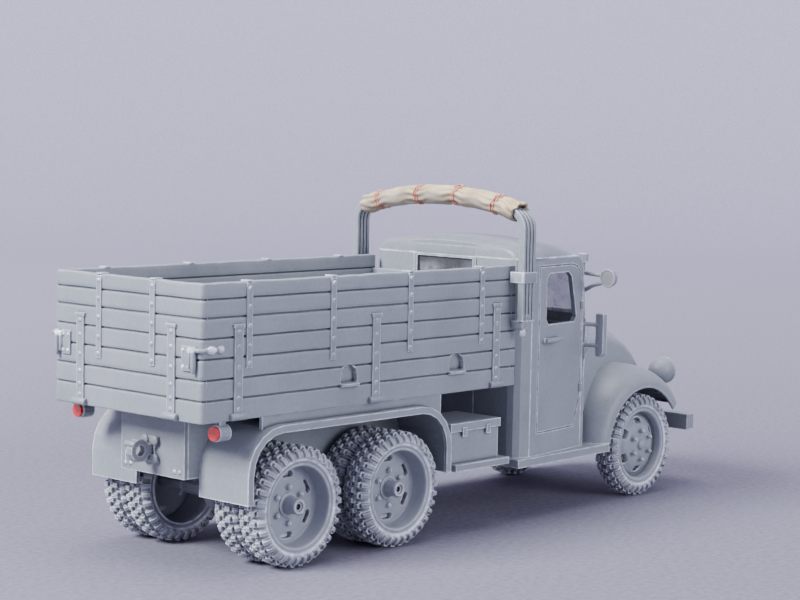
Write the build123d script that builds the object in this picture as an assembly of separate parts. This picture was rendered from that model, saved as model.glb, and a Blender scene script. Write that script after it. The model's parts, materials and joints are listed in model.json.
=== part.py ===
from build123d import *
import math
import os

# Six-wheeled military cargo truck, built as the small painted scale model that it is.
#
# Frame: X forward, Y to the left, Z up, the ground at Z = 0 and the origin under the
# middle of the whole model. Lengths along the truck are first written from the outer face
# of the tailgate, and shift_x moves them to the origin at the end. All sizes are in
# millimetres. The chain along the truck runs tailgate, bed, cab, front axle, bumper, and the
# chain upwards runs axle, frame rails, bed and cab.

# Round pieces have flat facets, and a radius is measured to the middle of a facet, so that
# the corners of a wheel's stub still clear the bore that turns on it.

# Wheels and axles
TYRE_RADIUS = 6.55
RIM_RADIUS = 4.75
REAR_AXLE_X = 13.64
BOGIE_BASE = 15.6
AXLE_AHEAD_OF_CAB = 11.37
REAR_TYRE_WIDTH = 3.15
REAR_TYRE_OUTER_Y = 12.7
TWIN_GAP = 0.6
FRONT_TYRE_WIDTH = 2.95
FRONT_TYRE_OUTER_Y = 11.5
LUG_COUNT = 12
LUG_SHARE = 0.56
LUG_HEIGHT = 0.45
TREAD_CROWN = 0.3
RIM_WALL = 0.35
RIM_INSET = 0.1
RIM_SIDES = 16
REAR_DISC_DEPTH = 2.0
FRONT_DISC_DEPTH = 0.9
FRONT_DISC_DOME = 0.55
DISC_THICKNESS = 0.4
HUB_RADIUS = 0.9
HUB_WALL = 0.65
HUB_SIDES = 12
HUB_INSET = 0.2
CAP_RADIUS = 0.95
CAP_HEIGHT = 0.35
NUT_COUNT = 6
NUT_SIDES = 6
NUT_RADIUS = 0.3
NUT_HEIGHT = 0.4
NUT_RING_RADIUS = 2.0
SLOT_RING_RADIUS = 3.4
SLOT_LENGTH = 1.5
SLOT_WIDTH = 0.6
STUB_RADIUS = 0.55
STUB_INSET = 1.6
RUNNING_CLEARANCE = 0.06
BEAM_RADIUS = 0.85
BEAM_GAP = 0.3
HOUSING_RADIUS = 2.0
HOUSING_END_RADIUS = 1.1
HOUSING_FLAT = 0.6
HOUSING_LENGTH = 1.5
SHAFT_RADIUS = 0.4
KINGPIN_RADIUS = 0.6
KINGPIN_HEIGHT = 2.8
TRACK_ROD_BEHIND = 1.7
TRACK_ROD_RADIUS = 0.3

# Frame under the bed
AXLE_TO_RAIL = 3.05
RAIL_Y = 3.6
RAIL_WIDTH = 0.8
RAIL_HEIGHT = 2.0
RAIL_BEHIND_BUMPER = 0.7
HORN_LENGTH = 1.5
HORN_DROP = 1.9
HORN_HEIGHT = 2.8
MEMBER_WIDTH = 0.9
MEMBER_INSET = 2.2
MEMBER_LIFT = 0.2
BEARER_Y = 5.15
BEARER_THICKNESS = 0.5
BEARER_BEHIND_CAB = 6.6
REAR_PANEL_X = 3.8
REAR_PANEL_THICKNESS = 0.5
SPRING_OVERHANG = 1.0
FRONT_SPRING_HALF = 7.0
BOGIE_LEAVES = 4
FRONT_LEAVES = 3

# Towing hook
HOOK_ABOVE_RAIL = 0.75
HOOK_BORE_RADIUS = 0.6
HOOK_WALL = 0.6
HOOK_WIDTH = 0.9
HOOK_REACH = 2.0
HOOK_PLATE_THICKNESS = 0.35
HOOK_PLATE_HALF_HEIGHT = 1.4
HOOK_PLATE_HALF_WIDTH = 1.15
HOOK_PLATE_WAIST = 0.65

# Cargo bed
BED_LENGTH = 49.8
BED_WIDTH = 23.84
BED_ABOVE_RAIL = 4.98
BED_WALL = 0.9
FLOOR_THICKNESS = 0.8
PLANK_HEIGHTS = (2.3, 2.1, 2.15, 2.1, 2.1, 1.9, 1.65)
GROOVE_HEIGHT = 0.18
GROOVE_DEPTH = 0.12
STRAP_THICKNESS = 0.16
UPPER_STRAP_COUNT = 4
UPPER_STRAP_INSET = 6.5
UPPER_STRAP_WIDTH = 0.84
UPPER_STRAP_LENGTH = 9.0
HINGE_STRAP_COUNT = 3
HINGE_STRAP_REAR_INSET = 5.0
HINGE_STRAP_FRONT_INSET = 3.8
HINGE_STRAP_WIDTH = 1.2
HINGE_STRAP_LENGTH = 9.5
HINGE_STRAP_LIFT = 0.4
HINGE_ROLL_LENGTH = 2.2
HINGE_ROLL_RADIUS = 0.4
HINGE_ROLL_OFFSET = 0.22
TAIL_UPPER_STRAP_Y = 4.35
TAIL_HINGE_STRAP_Y = 7.4
HAND_HOLD_REAR_X = 21.4
HAND_HOLD_FRONT_INSET = 10.7
HAND_HOLD_HEIGHT = 2.6
HAND_HOLD_RADIUS = 1.25
HAND_HOLD_SQUARE = 0.75
HAND_HOLD_DEPTH = 0.35
LEDGE_REACH = 0.3
LEDGE_HEIGHT = 0.45
LEDGE_OVERHANG = 0.2

# Tailgate latches
LATCH_HEIGHT = 6.4
LATCH_PLATE_THICKNESS = 0.25
LATCH_PLATE_INSET = 1.6
LATCH_PLATE_WIDTH = 1.2
LATCH_PLATE_HALF_HEIGHT = 1.25
LEVER_INSET = 0.9
LEVER_RADIUS = 0.3
LEVER_OFFSET = 0.35
LEVER_HALF_HEIGHT = 1.3
HOOK_BAR_THICKNESS = 0.3
HOOK_BAR_LIFT = 0.6
HOOK_BAR_HEIGHT = 0.5
HOOK_BAR_REACH = 3.0
HOOK_EYE_LENGTH = 1.0
HOOK_EYE_EXTRA = 0.3

# Rear mudguards, tail lamps and toolboxes
GUARD_BEHIND_AXLE = 7.74
GUARD_AHEAD_OF_AXLE = 8.36
GUARD_BELOW_BED = 0.98
GUARD_BELOW_RAIL = 2.0
GUARD_CORNER = 5.0
GUARD_THICKNESS = 0.5
GUARD_LIP = 0.3
GUARD_LIP_WIDTH = 0.4
GUARD_OUTER_Y = 12.75
RISER_INSET = 1.25
RISER_THICKNESS = 0.4
RISER_REAR_INSET = 3.0
RISER_FRONT_INSET = 0.6
RISER_DROP = 4.0
TAIL_LAMP_X = 2.7
TAIL_LAMP_INSET = 0.82
TAIL_LAMP_DROP = 1.23
TAIL_LAMP_RADIUS = 0.85
TAIL_LAMP_LENGTH = 1.5
TAIL_LENS_RADIUS = 0.72
TAIL_LENS_DEPTH = 0.35
TAIL_LUG_WIDTH = 0.6
TAIL_LUG_LENGTH = 0.8
TOOLBOX_BEHIND_CAB = 3.5
TOOLBOX_AHEAD_OF_GUARD = 0.7
TOOLBOX_OUTER_Y = 12.0
TOOLBOX_BELOW_RAIL = 1.3
TOOLBOX_HEIGHT = 3.7
LID_HEIGHT = 1.0
LID_OVERHANG = 0.2
LID_TAB_INSET = 2.1
LID_TAB_WIDTH = 0.7
LID_TAB_DROP = 0.6
LID_TAB_THICKNESS = 0.15
STEP_THICKNESS = 0.8
STEP_AHEAD = 1.1
STEP_REACH = 0.9
STEP_INNER_INSET = 1.5

# Cab
CAB_GAP = 0.4
CAB_LENGTH = 14.8
CAB_BELOW_RAIL = 2.0
CAB_HEIGHT = 26.3
CAB_HALF_WIDTH = 12.0
CAB_FRONT_HALF_WIDTH = 10.5
CAB_STRAIGHT = 3.8
CAB_WALL = 0.6
CAB_CORNER = 1.6
CORNER_STEPS = 3
ROOF_RADIUS = 60.0
ROOF_SHOULDER = 2.4
ROOF_STEPS = 6
ROOF_SPLIT_DROP = 2.4
REAR_WALL_DEPTH = 2.4
FRONT_WALL_DEPTH = 0.7
FRAME_TUNNEL_Y = 4.4
GLASS_THICKNESS = 0.2
REAR_PRESSING_HALF = 5.1
REAR_PRESSING_RAISE = 0.1
REAR_PRESSING_DROP = 1.2
REAR_WINDOW_HALF = 4.5
REAR_WINDOW_HEIGHT = 3.8
REAR_WINDOW_DROP = 2.7
SCREEN_INNER_Y = 0.5
SCREEN_OUTER_Y = 8.8
SCREEN_HEIGHT = 5.2
SCREEN_DROP = 4.1

# Columns: behind the cab's front, below the roof's top
ROOF_FRONT = ((5.0, 0.7), (1.9, 2.45), (1.15, 2.95), (0.78, 3.9), (0.0, 9.9))
ROOF_REAR_SLOPE = (4.0, 0.3)

# Doors
DOOR_REAR_INSET = 3.7
DOOR_FRONT_INSET = 1.0
DOOR_LIFT = 2.7
DOOR_DROP = 3.3
DOOR_CUT_LENGTH = 1.4
DOOR_CUT_HEIGHT = 3.9
DOOR_CORNER = 2.4
DOOR_GROOVE = 0.14
WINDOW_REAR_INSET = 1.7
WINDOW_FRONT_INSET = 1.1
WINDOW_SLANT = 1.6
WINDOW_HEIGHT = 6.2
WINDOW_DROP = 4.3
WINDOW_CORNER = 0.6
HANDLE_AHEAD = 1.1
HANDLE_LENGTH = 3.3
HANDLE_BELOW_WINDOW = 1.9
DOOR_HANDLE_REACH = 0.5
DOOR_HANDLE_BAR = 0.25
DOOR_HANDLE_HEIGHT = 0.45
HINGE_RADIUS = 0.3
HINGE_HALF_LENGTH = 0.6
HINGE_LIFTS = (4.7, 15.0)

# Seat, dashboard and steering wheel
SEAT_AHEAD = 1.4
SEAT_LENGTH = 5.0
SEAT_HEIGHT = 4.0
SEAT_BACK_THICKNESS = 1.5
SEAT_BACK_HEIGHT = 7.3
SEAT_SIDE_GAP = 2.5
DASH_LENGTH = 2.8
DASH_HEIGHT = 2.8
DASH_BELOW_SCREEN = 1.4
DASH_SIDE_GAP = 1.5
STEERING_Y = 5.0
STEERING_RADIUS = 2.4
STEERING_RIM = 0.4
STEERING_THICKNESS = 0.3
STEERING_BEHIND_DASH = 2.4
STEERING_RISE = 2.2
STEERING_TILT = 37.0
COLUMN_RADIUS = 0.3

# Tilt bows folded together at the front of the bed
BOW_COUNT = 4
BOW_BEHIND_FRONT = 1.5
BOW_DEPTH = 0.52
BOW_PITCH = 0.59
BOW_OUTSIDE_BED = 2.08
BOW_THICKNESS = 0.9
BOW_FOOT_DROP = 6.48
BOW_BEND = 2.6
BEND_STEPS = 2
ARCH_STEPS = 6
ARCH_ABOVE_CAB = 4.95
ARCH_RADIUS = 45.6
ROLL_HALF_DEPTH = 1.75
ROLL_HALF_HEIGHT = 1.25
ROLL_HALF_SPAN = 13.3
ROLL_SIDES = 8
SNUG = 0.05
TIES_Y = (-10.2, -3.3, 3.3, 10.2)
TIE_WIDTH = 0.7
TIE_THICKNESS = 0.12
SOCKET_HEIGHT = 1.2
CLAMP_DROP = 0.68
CLAMP_HEIGHT = 1.3
CLAMP_THICKNESS = 0.2

# Front end
BUMPER_AHEAD_OF_AXLE = 10.73
BUMPER_DEPTH = 1.9
BUMPER_HALF_WIDTH = 11.0
BUMPER_BELOW_RAIL = 2.2
BUMPER_HEIGHT = 2.1
BUMPER_CHAMFER = 0.4
FENDER_CROWN_RADIUS = 10.3
FENDER_BEND = 2.6
FENDER_EDGE_Y = 12.0
FENDER_THICKNESS = 0.5
FENDER_FRONT_ANGLE = 28.0
FENDER_RAIL_GAP = 0.5
FENDER_STEPS = 14
BOARD_THICKNESS = 1.0
BOARD_OUTER_Y = 12.7
BOARD_INNER_Y = 7.0
BOARD_BEHIND_CAB = 0.4
BONNET_WALL = 0.6
BONNET_SHOULDER = 1.5
BONNET_CROWN_SHARE = 0.75
GRILLE_SLOTS = 7
GRILLE_PITCH = 0.95
GRILLE_SLOT_WIDTH = 0.4
GRILLE_DEPTH = 0.3
GRILLE_LENGTH = 3.9
LOUVRES = 7
LOUVRE_PITCH = 1.3
LOUVRE_WIDTH = 0.35
LOUVRE_HEIGHT = 3.4
LOUVRE_DEPTH = 0.15
LOUVRE_AHEAD_OF_CAB = 3.2
LOUVRE_DROP = 2.6
HEADLAMP_Y = 8.5
HEADLAMP_ANGLE = 49.2
HEADLAMP_CLEAR = 1.38
HEADLAMP_RADIUS = 1.7
HEADLAMP_HALF_LENGTH = 1.3
HEADLAMP_LENS_INSET = 0.2
HEADLAMP_LENS_DEPTH = 0.3
HEADLAMP_FOOT_LENGTH = 1.1
HEADLAMP_FOOT_WIDTH = 0.8

# Columns: ahead of the cab, half width, shoulder above the rails, crown above the rails
BONNET_SECTIONS = (
    (0.0, 9.4, 10.0, 11.4),
    (5.0, 7.9, 9.4, 11.0),
    (13.0, 5.7, 8.7, 10.3),
    (17.5, 5.2, 6.4, 8.3),
    (21.6, 4.6, 1.8, 3.4),
)

# Columns: share of half the lamp's length from its middle, share of its radius
HEADLAMP_BOWL = ((-1.0, 0.35), (-0.7, 0.72), (-0.25, 0.93), (0.3, 1.0), (1.0, 1.0))

# Mirrors, indicators and marker lamps on the cab's front pillars
MIRROR_BEHIND_FRONT = 0.7
MIRROR_OUTSIDE = 3.8
MIRROR_DROP = 5.05
MIRROR_RADIUS = 1.15
MIRROR_DEPTH = 1.4
MIRROR_FACE_RADIUS = 0.95
MIRROR_FACE_THICKNESS = 0.12
MIRROR_ARM_RADIUS = 0.2
MIRROR_ARM_SPREAD = 1.8
INDICATOR_OUTSIDE = 1.6
INDICATOR_WIDTH = 1.2
INDICATOR_LENGTH = 0.8
INDICATOR_HEIGHT = 5.4
INDICATOR_DROP = 9.6
INDICATOR_CUT = 0.4
INDICATOR_ARM_RADIUS = 0.25
INDICATOR_ARM_INSET = 1.4
MARKER_RADIUS = 0.6
MARKER_HEIGHT = 1.1
MARKER_DROP = 2.2
MARKER_STEM = 1.2
MARKER_INSET = 0.5
MARKER_BEHIND_FRONT = 0.1

# Facets: sides of small bars, of lamps and hook, of stubs and bores, steps of a curve
SMALL_SIDES = 8
LAMP_SIDES = 12
BEARING_SIDES = 16
CURVE_STEPS = 5

# How deep a fitting's root is drawn into the cab before the cab is taken off it, and how
# nearly four corners must lie in one plane to share a flat facet
INTO_CAB = 0.9
FLATNESS = 0.00001

# Places that follow from the sizes
MIDDLE_AXLE_X = REAR_AXLE_X + BOGIE_BASE
BOGIE_X = (REAR_AXLE_X + MIDDLE_AXLE_X) / 2
CAB_REAR_X = BED_LENGTH + CAB_GAP
CAB_FRONT_X = CAB_REAR_X + CAB_LENGTH
FRONT_AXLE_X = CAB_FRONT_X + AXLE_AHEAD_OF_CAB
BUMPER_REAR_X = FRONT_AXLE_X + BUMPER_AHEAD_OF_AXLE
BUMPER_FRONT_X = BUMPER_REAR_X + BUMPER_DEPTH
RAIL_END_X = BUMPER_REAR_X - RAIL_BEHIND_BUMPER
BEARER_END_X = CAB_REAR_X - BEARER_BEHIND_CAB
REAR_PANEL_FRONT_X = REAR_PANEL_X + REAR_PANEL_THICKNESS
RAIL_BOTTOM_Z = TYRE_RADIUS + AXLE_TO_RAIL
RAIL_TOP_Z = RAIL_BOTTOM_Z + RAIL_HEIGHT
BED_BOTTOM_Z = RAIL_TOP_Z + BED_ABOVE_RAIL
BED_TOP_Z = BED_BOTTOM_Z + sum(PLANK_HEIGHTS)
HALF_BED = BED_WIDTH / 2
CAB_BOTTOM_Z = RAIL_BOTTOM_Z - CAB_BELOW_RAIL
CAB_TOP_Z = CAB_BOTTOM_Z + CAB_HEIGHT
BUMPER_BOTTOM_Z = RAIL_BOTTOM_Z - BUMPER_BELOW_RAIL
REAR_INNER_Y = REAR_TYRE_OUTER_Y - 2 * REAR_TYRE_WIDTH - TWIN_GAP
FRONT_INNER_Y = FRONT_TYRE_OUTER_Y - FRONT_TYRE_WIDTH
REAR_STUB_END = REAR_TYRE_OUTER_Y - STUB_INSET
FRONT_STUB_END = FRONT_TYRE_OUTER_Y - STUB_INSET
BORE_RADIUS = STUB_RADIUS + RUNNING_CLEARANCE
LATCH_REACH = LEVER_OFFSET + LEVER_RADIUS
shift_x = -(BUMPER_FRONT_X - LATCH_REACH) / 2

nodes = {}


# Shared shapes

def block(x0, x1, y0, y1, z0, z1):
    """A box between two corners."""
    size = (x1 - x0, y1 - y0, z1 - z0)
    return Pos((x0 + x1) / 2, (y0 + y1) / 2, (z0 + z1) / 2) * Box(*size)


def polygon(radius, sides):
    """A regular outline whose flats lie at the radius and face the two axes."""
    return RegularPolygon(radius / math.cos(math.pi / sides), sides, rotation=180 / sides)


def rod(start, end, radius, sides=SMALL_SIDES):
    """A straight bar with flat facets from one point to another."""
    axis = Vector(*end) - Vector(*start)
    return extrude(Plane(origin=start, z_dir=axis.normalized()) * polygon(radius, sides), axis.length)


def pin(x, y0, y1, z, radius):
    """A true cylinder along Y, for the bore that takes a pin."""
    return extrude(Plane(origin=(x, y0, z), z_dir=(0, 1, 0)) * Circle(radius), y1 - y0)


def wheel_bar(x, y0, y1, radius, sides):
    """A bar with flat facets about a wheel's axle."""
    plane = Plane(origin=(x, y0, TYRE_RADIUS), x_dir=(1, 0, 0), z_dir=(0, 1, 0))
    return extrude(plane * polygon(radius, sides), y1 - y0)


def flat_facets(a, b, c, d):
    """One flat face on four corners, or two where they don't lie in one plane."""
    twist = (b - a).cross(d - a).dot(c - a)
    if abs(twist) < FLATNESS * (b - a).length * (d - a).length:
        return [Face(Wire.make_polygon([a, b, c, d]))]
    return [Face(Wire.make_polygon([a, b, c])), Face(Wire.make_polygon([a, c, d]))]


def facet_loft(rings):
    """A closed form through rings of corner points, with flat facets between the rings."""
    faces = [Face(Wire.make_polygon(rings[0])), Face(Wire.make_polygon(rings[-1]))]
    for low, high in zip(rings, rings[1:]):
        for index, corner in enumerate(low):
            after = (index + 1) % len(low)
            faces += flat_facets(corner, low[after], high[after], high[index])
    return Part() + Solid(Shell(faces))


def ring_on(plane, points):
    """Flat points as corners in space, on a plane."""
    return [plane.from_local_coords(Vector(u, v, 0)) for u, v in points]


def faceted(rings, centre, direction, sides):
    """A turned form with flat facets, through rings of (distance, radius) along a direction."""
    corners = []
    for distance, radius in rings:
        plane = Plane(origin=Vector(*centre) + Vector(*direction) * distance, z_dir=direction)
        reach = radius / math.cos(math.pi / sides)
        half = 180 / sides
        corners.append(ring_on(plane, arc_points((0, 0), reach, half, 360 + half, sides)[:-1]))
    return facet_loft(corners)


def other_side(shape):
    """The same piece on the other side of the truck."""
    return mirror(shape, about=Plane.XZ)


def both_sides(shape):
    """A pair: the piece and the same piece on the other side, as separate solids."""
    return shape + other_side(shape)


def side_prism(outline, y0, y1):
    """A closed outline of (x, z) points, carried across the truck from y0 to y1."""
    return across(make_face(Polyline(*outline, close=True)), y0, y1)


def across(face, y0, y1):
    """A flat face drawn in (x, z), carried across the truck from y0 to y1."""
    return extrude(Plane(origin=(0, y0, 0), x_dir=(1, 0, 0), z_dir=(0, -1, 0)) * face, y0 - y1)


def along(face, x0, x1):
    """A flat face drawn in (y, z), carried along the truck from x0 to x1."""
    return extrude(Plane(origin=(x0, 0, 0), x_dir=(0, 1, 0), z_dir=(1, 0, 0)) * face, x1 - x0)


def plan_prism(outline, z0, z1):
    """A closed outline of (x, y) points, carried upwards from z0 to z1."""
    return extrude(Pos(0, 0, z0) * make_face(Polyline(*outline, close=True)), z1 - z0)


def arc_points(centre, radius, start, end, steps):
    """Points along an arc between two angles in degrees, both ends included."""
    points = []
    for index in range(steps + 1):
        angle = math.radians(start + (end - start) * index / steps)
        points.append((centre[0] + radius * math.cos(angle), centre[1] + radius * math.sin(angle)))
    return points


def arched_outline(half, foot, top, radius, bend, steps):
    """Two legs, two bends and an arch between them, seen from behind, its top at a height."""
    centre_z = top - radius
    bend_y = half - bend
    bend_z = centre_z + math.sqrt((radius - bend) ** 2 - bend_y ** 2)
    turn = math.degrees(math.atan2(bend_z - centre_z, bend_y))
    left = arc_points((bend_y, bend_z), bend, 0, turn, BEND_STEPS)
    arch = arc_points((0, centre_z), radius, turn, 180 - turn, steps)
    right = [(-y, z) for y, z in reversed(left)]
    return make_face(Polyline((half, foot), *left, *arch[1:-1], *right, (-half, foot), close=True))


def spread(start, end, count):
    """Evenly spaced places from start to end."""
    return [start + (end - start) * index / (count - 1) for index in range(count)]


# Cargo bed

def plank_board(length):
    """A standing board along X, from X = 0, Y = 0, with grooves between its planks."""
    seams = []
    seam_z = BED_BOTTOM_Z
    for height in PLANK_HEIGHTS[:-1]:
        seam_z += height
        seams.append(seam_z)
    outer, inner = [(0, BED_BOTTOM_Z)], [(BED_WALL, BED_BOTTOM_Z)]
    for z in seams:
        for step, depth in ((-GROOVE_HEIGHT / 2, 0), (0, GROOVE_DEPTH), (GROOVE_HEIGHT / 2, 0)):
            outer.append((depth, z + step))
            inner.append((BED_WALL - depth, z + step))
    outline = [*outer, (0, BED_TOP_Z), (BED_WALL, BED_TOP_Z), *reversed(inner)]
    return along(make_face(Polyline(*outline, close=True)), 0, length)


def upper_strap(x):
    """A narrow iron from the top plank down, let into the grooves that it crosses."""
    half = UPPER_STRAP_WIDTH / 2
    z0 = BED_TOP_Z - UPPER_STRAP_LENGTH
    return block(x - half, x + half, -STRAP_THICKNESS, GROOVE_DEPTH, z0, BED_TOP_Z)


def hinge_strap(x):
    """A wide iron that grows out of the hinge's roll at the bottom edge."""
    half = HINGE_STRAP_WIDTH / 2
    z0 = BED_BOTTOM_Z + HINGE_STRAP_LIFT
    iron = block(x - half, x + half, -STRAP_THICKNESS, GROOVE_DEPTH, z0, z0 + HINGE_STRAP_LENGTH)
    reach = HINGE_ROLL_LENGTH / 2
    y = -HINGE_ROLL_OFFSET
    z = BED_BOTTOM_Z + HINGE_ROLL_RADIUS
    return iron + rod((x - reach, y, z), (x + reach, y, z), HINGE_ROLL_RADIUS)


def hand_hold(x):
    """An arched pocket in the outer face, and the small ledge under it."""
    z0 = BED_BOTTOM_Z + HAND_HOLD_HEIGHT
    r = HAND_HOLD_RADIUS
    arch = arc_points((x, z0 + HAND_HOLD_SQUARE), r, 0, 180, CURVE_STEPS)
    pocket = side_prism([(x + r, z0), *arch, (x - r, z0)], 0, HAND_HOLD_DEPTH)
    half = r + LEDGE_OVERHANG
    ledge = block(x - half, x + half, -LEDGE_REACH, GROOVE_DEPTH, z0 - LEDGE_HEIGHT, z0)
    return pocket, ledge


def bed_side():
    """The right side board, between tailgate and front board."""
    board = plank_board(BED_LENGTH - 2 * BED_WALL)
    for x in spread(UPPER_STRAP_INSET, BED_LENGTH - UPPER_STRAP_INSET, UPPER_STRAP_COUNT):
        board += upper_strap(x - BED_WALL)
    for x in spread(HINGE_STRAP_REAR_INSET, BED_LENGTH - HINGE_STRAP_FRONT_INSET, HINGE_STRAP_COUNT):
        board += hinge_strap(x - BED_WALL)
    for x in (HAND_HOLD_REAR_X, BED_LENGTH - HAND_HOLD_FRONT_INSET):
        pocket, ledge = hand_hold(x - BED_WALL)
        board = board - pocket + ledge
    return Pos(BED_WALL, -HALF_BED, 0) * board


def tailgate():
    """The tailgate, its outer face at X = 0."""
    board = plank_board(BED_WIDTH)
    for side in (-1, 1):
        board += upper_strap(HALF_BED + side * TAIL_UPPER_STRAP_Y)
        board += hinge_strap(HALF_BED + side * TAIL_HINGE_STRAP_Y)
    return Pos(0, HALF_BED, 0) * Rot(0, 0, -90) * board


def front_board():
    """The front board, facing the cab."""
    return Pos(BED_LENGTH, -HALF_BED, 0) * Rot(0, 0, 90) * plank_board(BED_WIDTH)


def tailgate_latch():
    """Hinged plate, lever and hook that hold the right corner of the tailgate."""
    z = BED_BOTTOM_Z + LATCH_HEIGHT
    edge = -HALF_BED
    thick = HOOK_BAR_THICKNESS
    plate = block(-LATCH_PLATE_THICKNESS, 0, edge + LATCH_PLATE_INSET,
                  edge + LATCH_PLATE_INSET + LATCH_PLATE_WIDTH,
                  z - LATCH_PLATE_HALF_HEIGHT, z + LATCH_PLATE_HALF_HEIGHT)
    lever_x, lever_y = -LEVER_OFFSET, edge + LEVER_INSET
    lever = rod((lever_x, lever_y, z - LEVER_HALF_HEIGHT), (lever_x, lever_y, z + LEVER_HALF_HEIGHT),
                LEVER_RADIUS)
    z0, z1 = z + HOOK_BAR_LIFT, z + HOOK_BAR_LIFT + HOOK_BAR_HEIGHT
    bar_end = edge + LATCH_PLATE_INSET
    bar = plan_prism([(0, bar_end), (-thick, bar_end), (-thick, edge - thick),
                      (HOOK_BAR_REACH, edge - thick), (HOOK_BAR_REACH, edge), (0, edge)], z0, z1)
    eye = block(HOOK_BAR_REACH - HOOK_EYE_LENGTH, HOOK_BAR_REACH, edge - thick, edge,
                z0 - HOOK_EYE_EXTRA, z1 + HOOK_EYE_EXTRA)
    return plate + lever + bar + eye


nodes["bed_side_right"] = bed_side()
nodes["bed_side_left"] = other_side(nodes["bed_side_right"])
nodes["tailgate"] = tailgate()
nodes["bed_front_board"] = front_board()
nodes["bed_floor"] = block(BED_WALL, BED_LENGTH - BED_WALL, BED_WALL - HALF_BED, HALF_BED - BED_WALL,
                           BED_BOTTOM_Z, BED_BOTTOM_Z + FLOOR_THICKNESS)
nodes["tailgate_latches"] = both_sides(tailgate_latch())


# Frame

def chassis_frame():
    """Two rails joined by cross members, the ones under the bed reaching its bearers."""
    half = RAIL_WIDTH / 2
    rail = block(REAR_PANEL_FRONT_X, RAIL_END_X, RAIL_Y - half, RAIL_Y + half, RAIL_BOTTOM_Z, RAIL_TOP_Z)
    horn_z = RAIL_BOTTOM_Z - HORN_DROP
    rail += block(RAIL_END_X - HORN_LENGTH, BUMPER_REAR_X, RAIL_Y - half, RAIL_Y + half,
                  horn_z, horn_z + HORN_HEIGHT)
    frame = both_sides(rail)
    members = (REAR_PANEL_X + MEMBER_INSET, BOGIE_X, MIDDLE_AXLE_X + BOGIE_BASE / 2,
               BEARER_END_X - MEMBER_WIDTH, (CAB_REAR_X + CAB_FRONT_X) / 2,
               (CAB_FRONT_X + FRONT_AXLE_X) / 2, RAIL_END_X - MEMBER_INSET)
    for x in members:
        reach = BEARER_Y - BEARER_THICKNESS if x < BEARER_END_X else RAIL_Y
        frame += block(x - MEMBER_WIDTH / 2, x + MEMBER_WIDTH / 2, -reach, reach,
                       RAIL_BOTTOM_Z + MEMBER_LIFT, RAIL_TOP_Z)
    return frame


def tow_hook():
    """Waisted base plate and ring of the towing hook."""
    z = RAIL_TOP_Z + HOOK_ABOVE_RAIL
    high, wide, waist = HOOK_PLATE_HALF_HEIGHT, HOOK_PLATE_HALF_WIDTH, HOOK_PLATE_WAIST
    outline = [(-wide, z - high), (wide, z - high), (waist, z), (wide, z + high), (-wide, z + high),
               (-waist, z)]
    face_x = REAR_PANEL_X - HOOK_PLATE_THICKNESS
    plate = along(make_face(Polyline(*outline, close=True)), face_x, REAR_PANEL_X)
    half = HOOK_WIDTH / 2
    x = REAR_PANEL_X - HOOK_REACH
    neck = block(x, face_x, -half, half, z - HOOK_WALL, z + HOOK_WALL)
    jaw = rod((x, -half, z), (x, half, z), HOOK_BORE_RADIUS + HOOK_WALL, LAMP_SIDES)
    return plate + neck + jaw - pin(x, -HOOK_WIDTH, HOOK_WIDTH, z, HOOK_BORE_RADIUS)


nodes["chassis_frame"] = chassis_frame()
nodes["bed_bearers"] = both_sides(block(REAR_PANEL_FRONT_X, BEARER_END_X, BEARER_Y - BEARER_THICKNESS,
                                        BEARER_Y, RAIL_BOTTOM_Z, BED_BOTTOM_Z))
nodes["rear_panel"] = block(REAR_PANEL_X, REAR_PANEL_FRONT_X, -BEARER_Y, BEARER_Y,
                            RAIL_BOTTOM_Z, BED_BOTTOM_Z)
nodes["tow_hook"] = tow_hook()


# Rear mudguards, lamps and toolboxes

GUARD_TOP_Z = BED_BOTTOM_Z - GUARD_BELOW_BED
GUARD_BOTTOM_Z = RAIL_BOTTOM_Z - GUARD_BELOW_RAIL
GUARD_REAR_X = REAR_AXLE_X - GUARD_BEHIND_AXLE
GUARD_FRONT_X = MIDDLE_AXLE_X + GUARD_AHEAD_OF_AXLE


def guard_outline(inset, drop=0.0):
    """The mudguard's arch seen from the side, made smaller by the inset."""
    x0, x1 = GUARD_REAR_X + inset, GUARD_FRONT_X - inset
    corner = GUARD_CORNER - inset
    z = GUARD_TOP_Z - GUARD_CORNER
    front = arc_points((x1 - corner, z), corner, 0, 90, CURVE_STEPS)
    rear = arc_points((x0 + corner, z), corner, 90, 180, CURVE_STEPS)
    return [(x1, GUARD_BOTTOM_Z - drop), *front, *rear, (x0, GUARD_BOTTOM_Z - drop)]


def mudguard():
    """One arched plate over a pair of twin wheels, with a lip and a riser to the bed."""
    lip_y = GUARD_OUTER_Y - GUARD_LIP_WIDTH
    lip_inset = GUARD_THICKNESS + GUARD_LIP
    skin = side_prism(guard_outline(0), BEARER_Y, GUARD_OUTER_Y)
    skin -= side_prism(guard_outline(GUARD_THICKNESS, GUARD_LIP), BEARER_Y, lip_y)
    skin -= side_prism(guard_outline(lip_inset, GUARD_LIP), lip_y, GUARD_OUTER_Y)
    riser_y = GUARD_OUTER_Y - RISER_INSET
    riser = block(GUARD_REAR_X + RISER_REAR_INSET, GUARD_FRONT_X - RISER_FRONT_INSET,
                  riser_y - RISER_THICKNESS, riser_y, GUARD_TOP_Z - RISER_DROP, BED_BOTTOM_Z)
    return skin + (riser - side_prism(guard_outline(GUARD_THICKNESS), riser_y - RISER_THICKNESS, riser_y))


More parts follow.
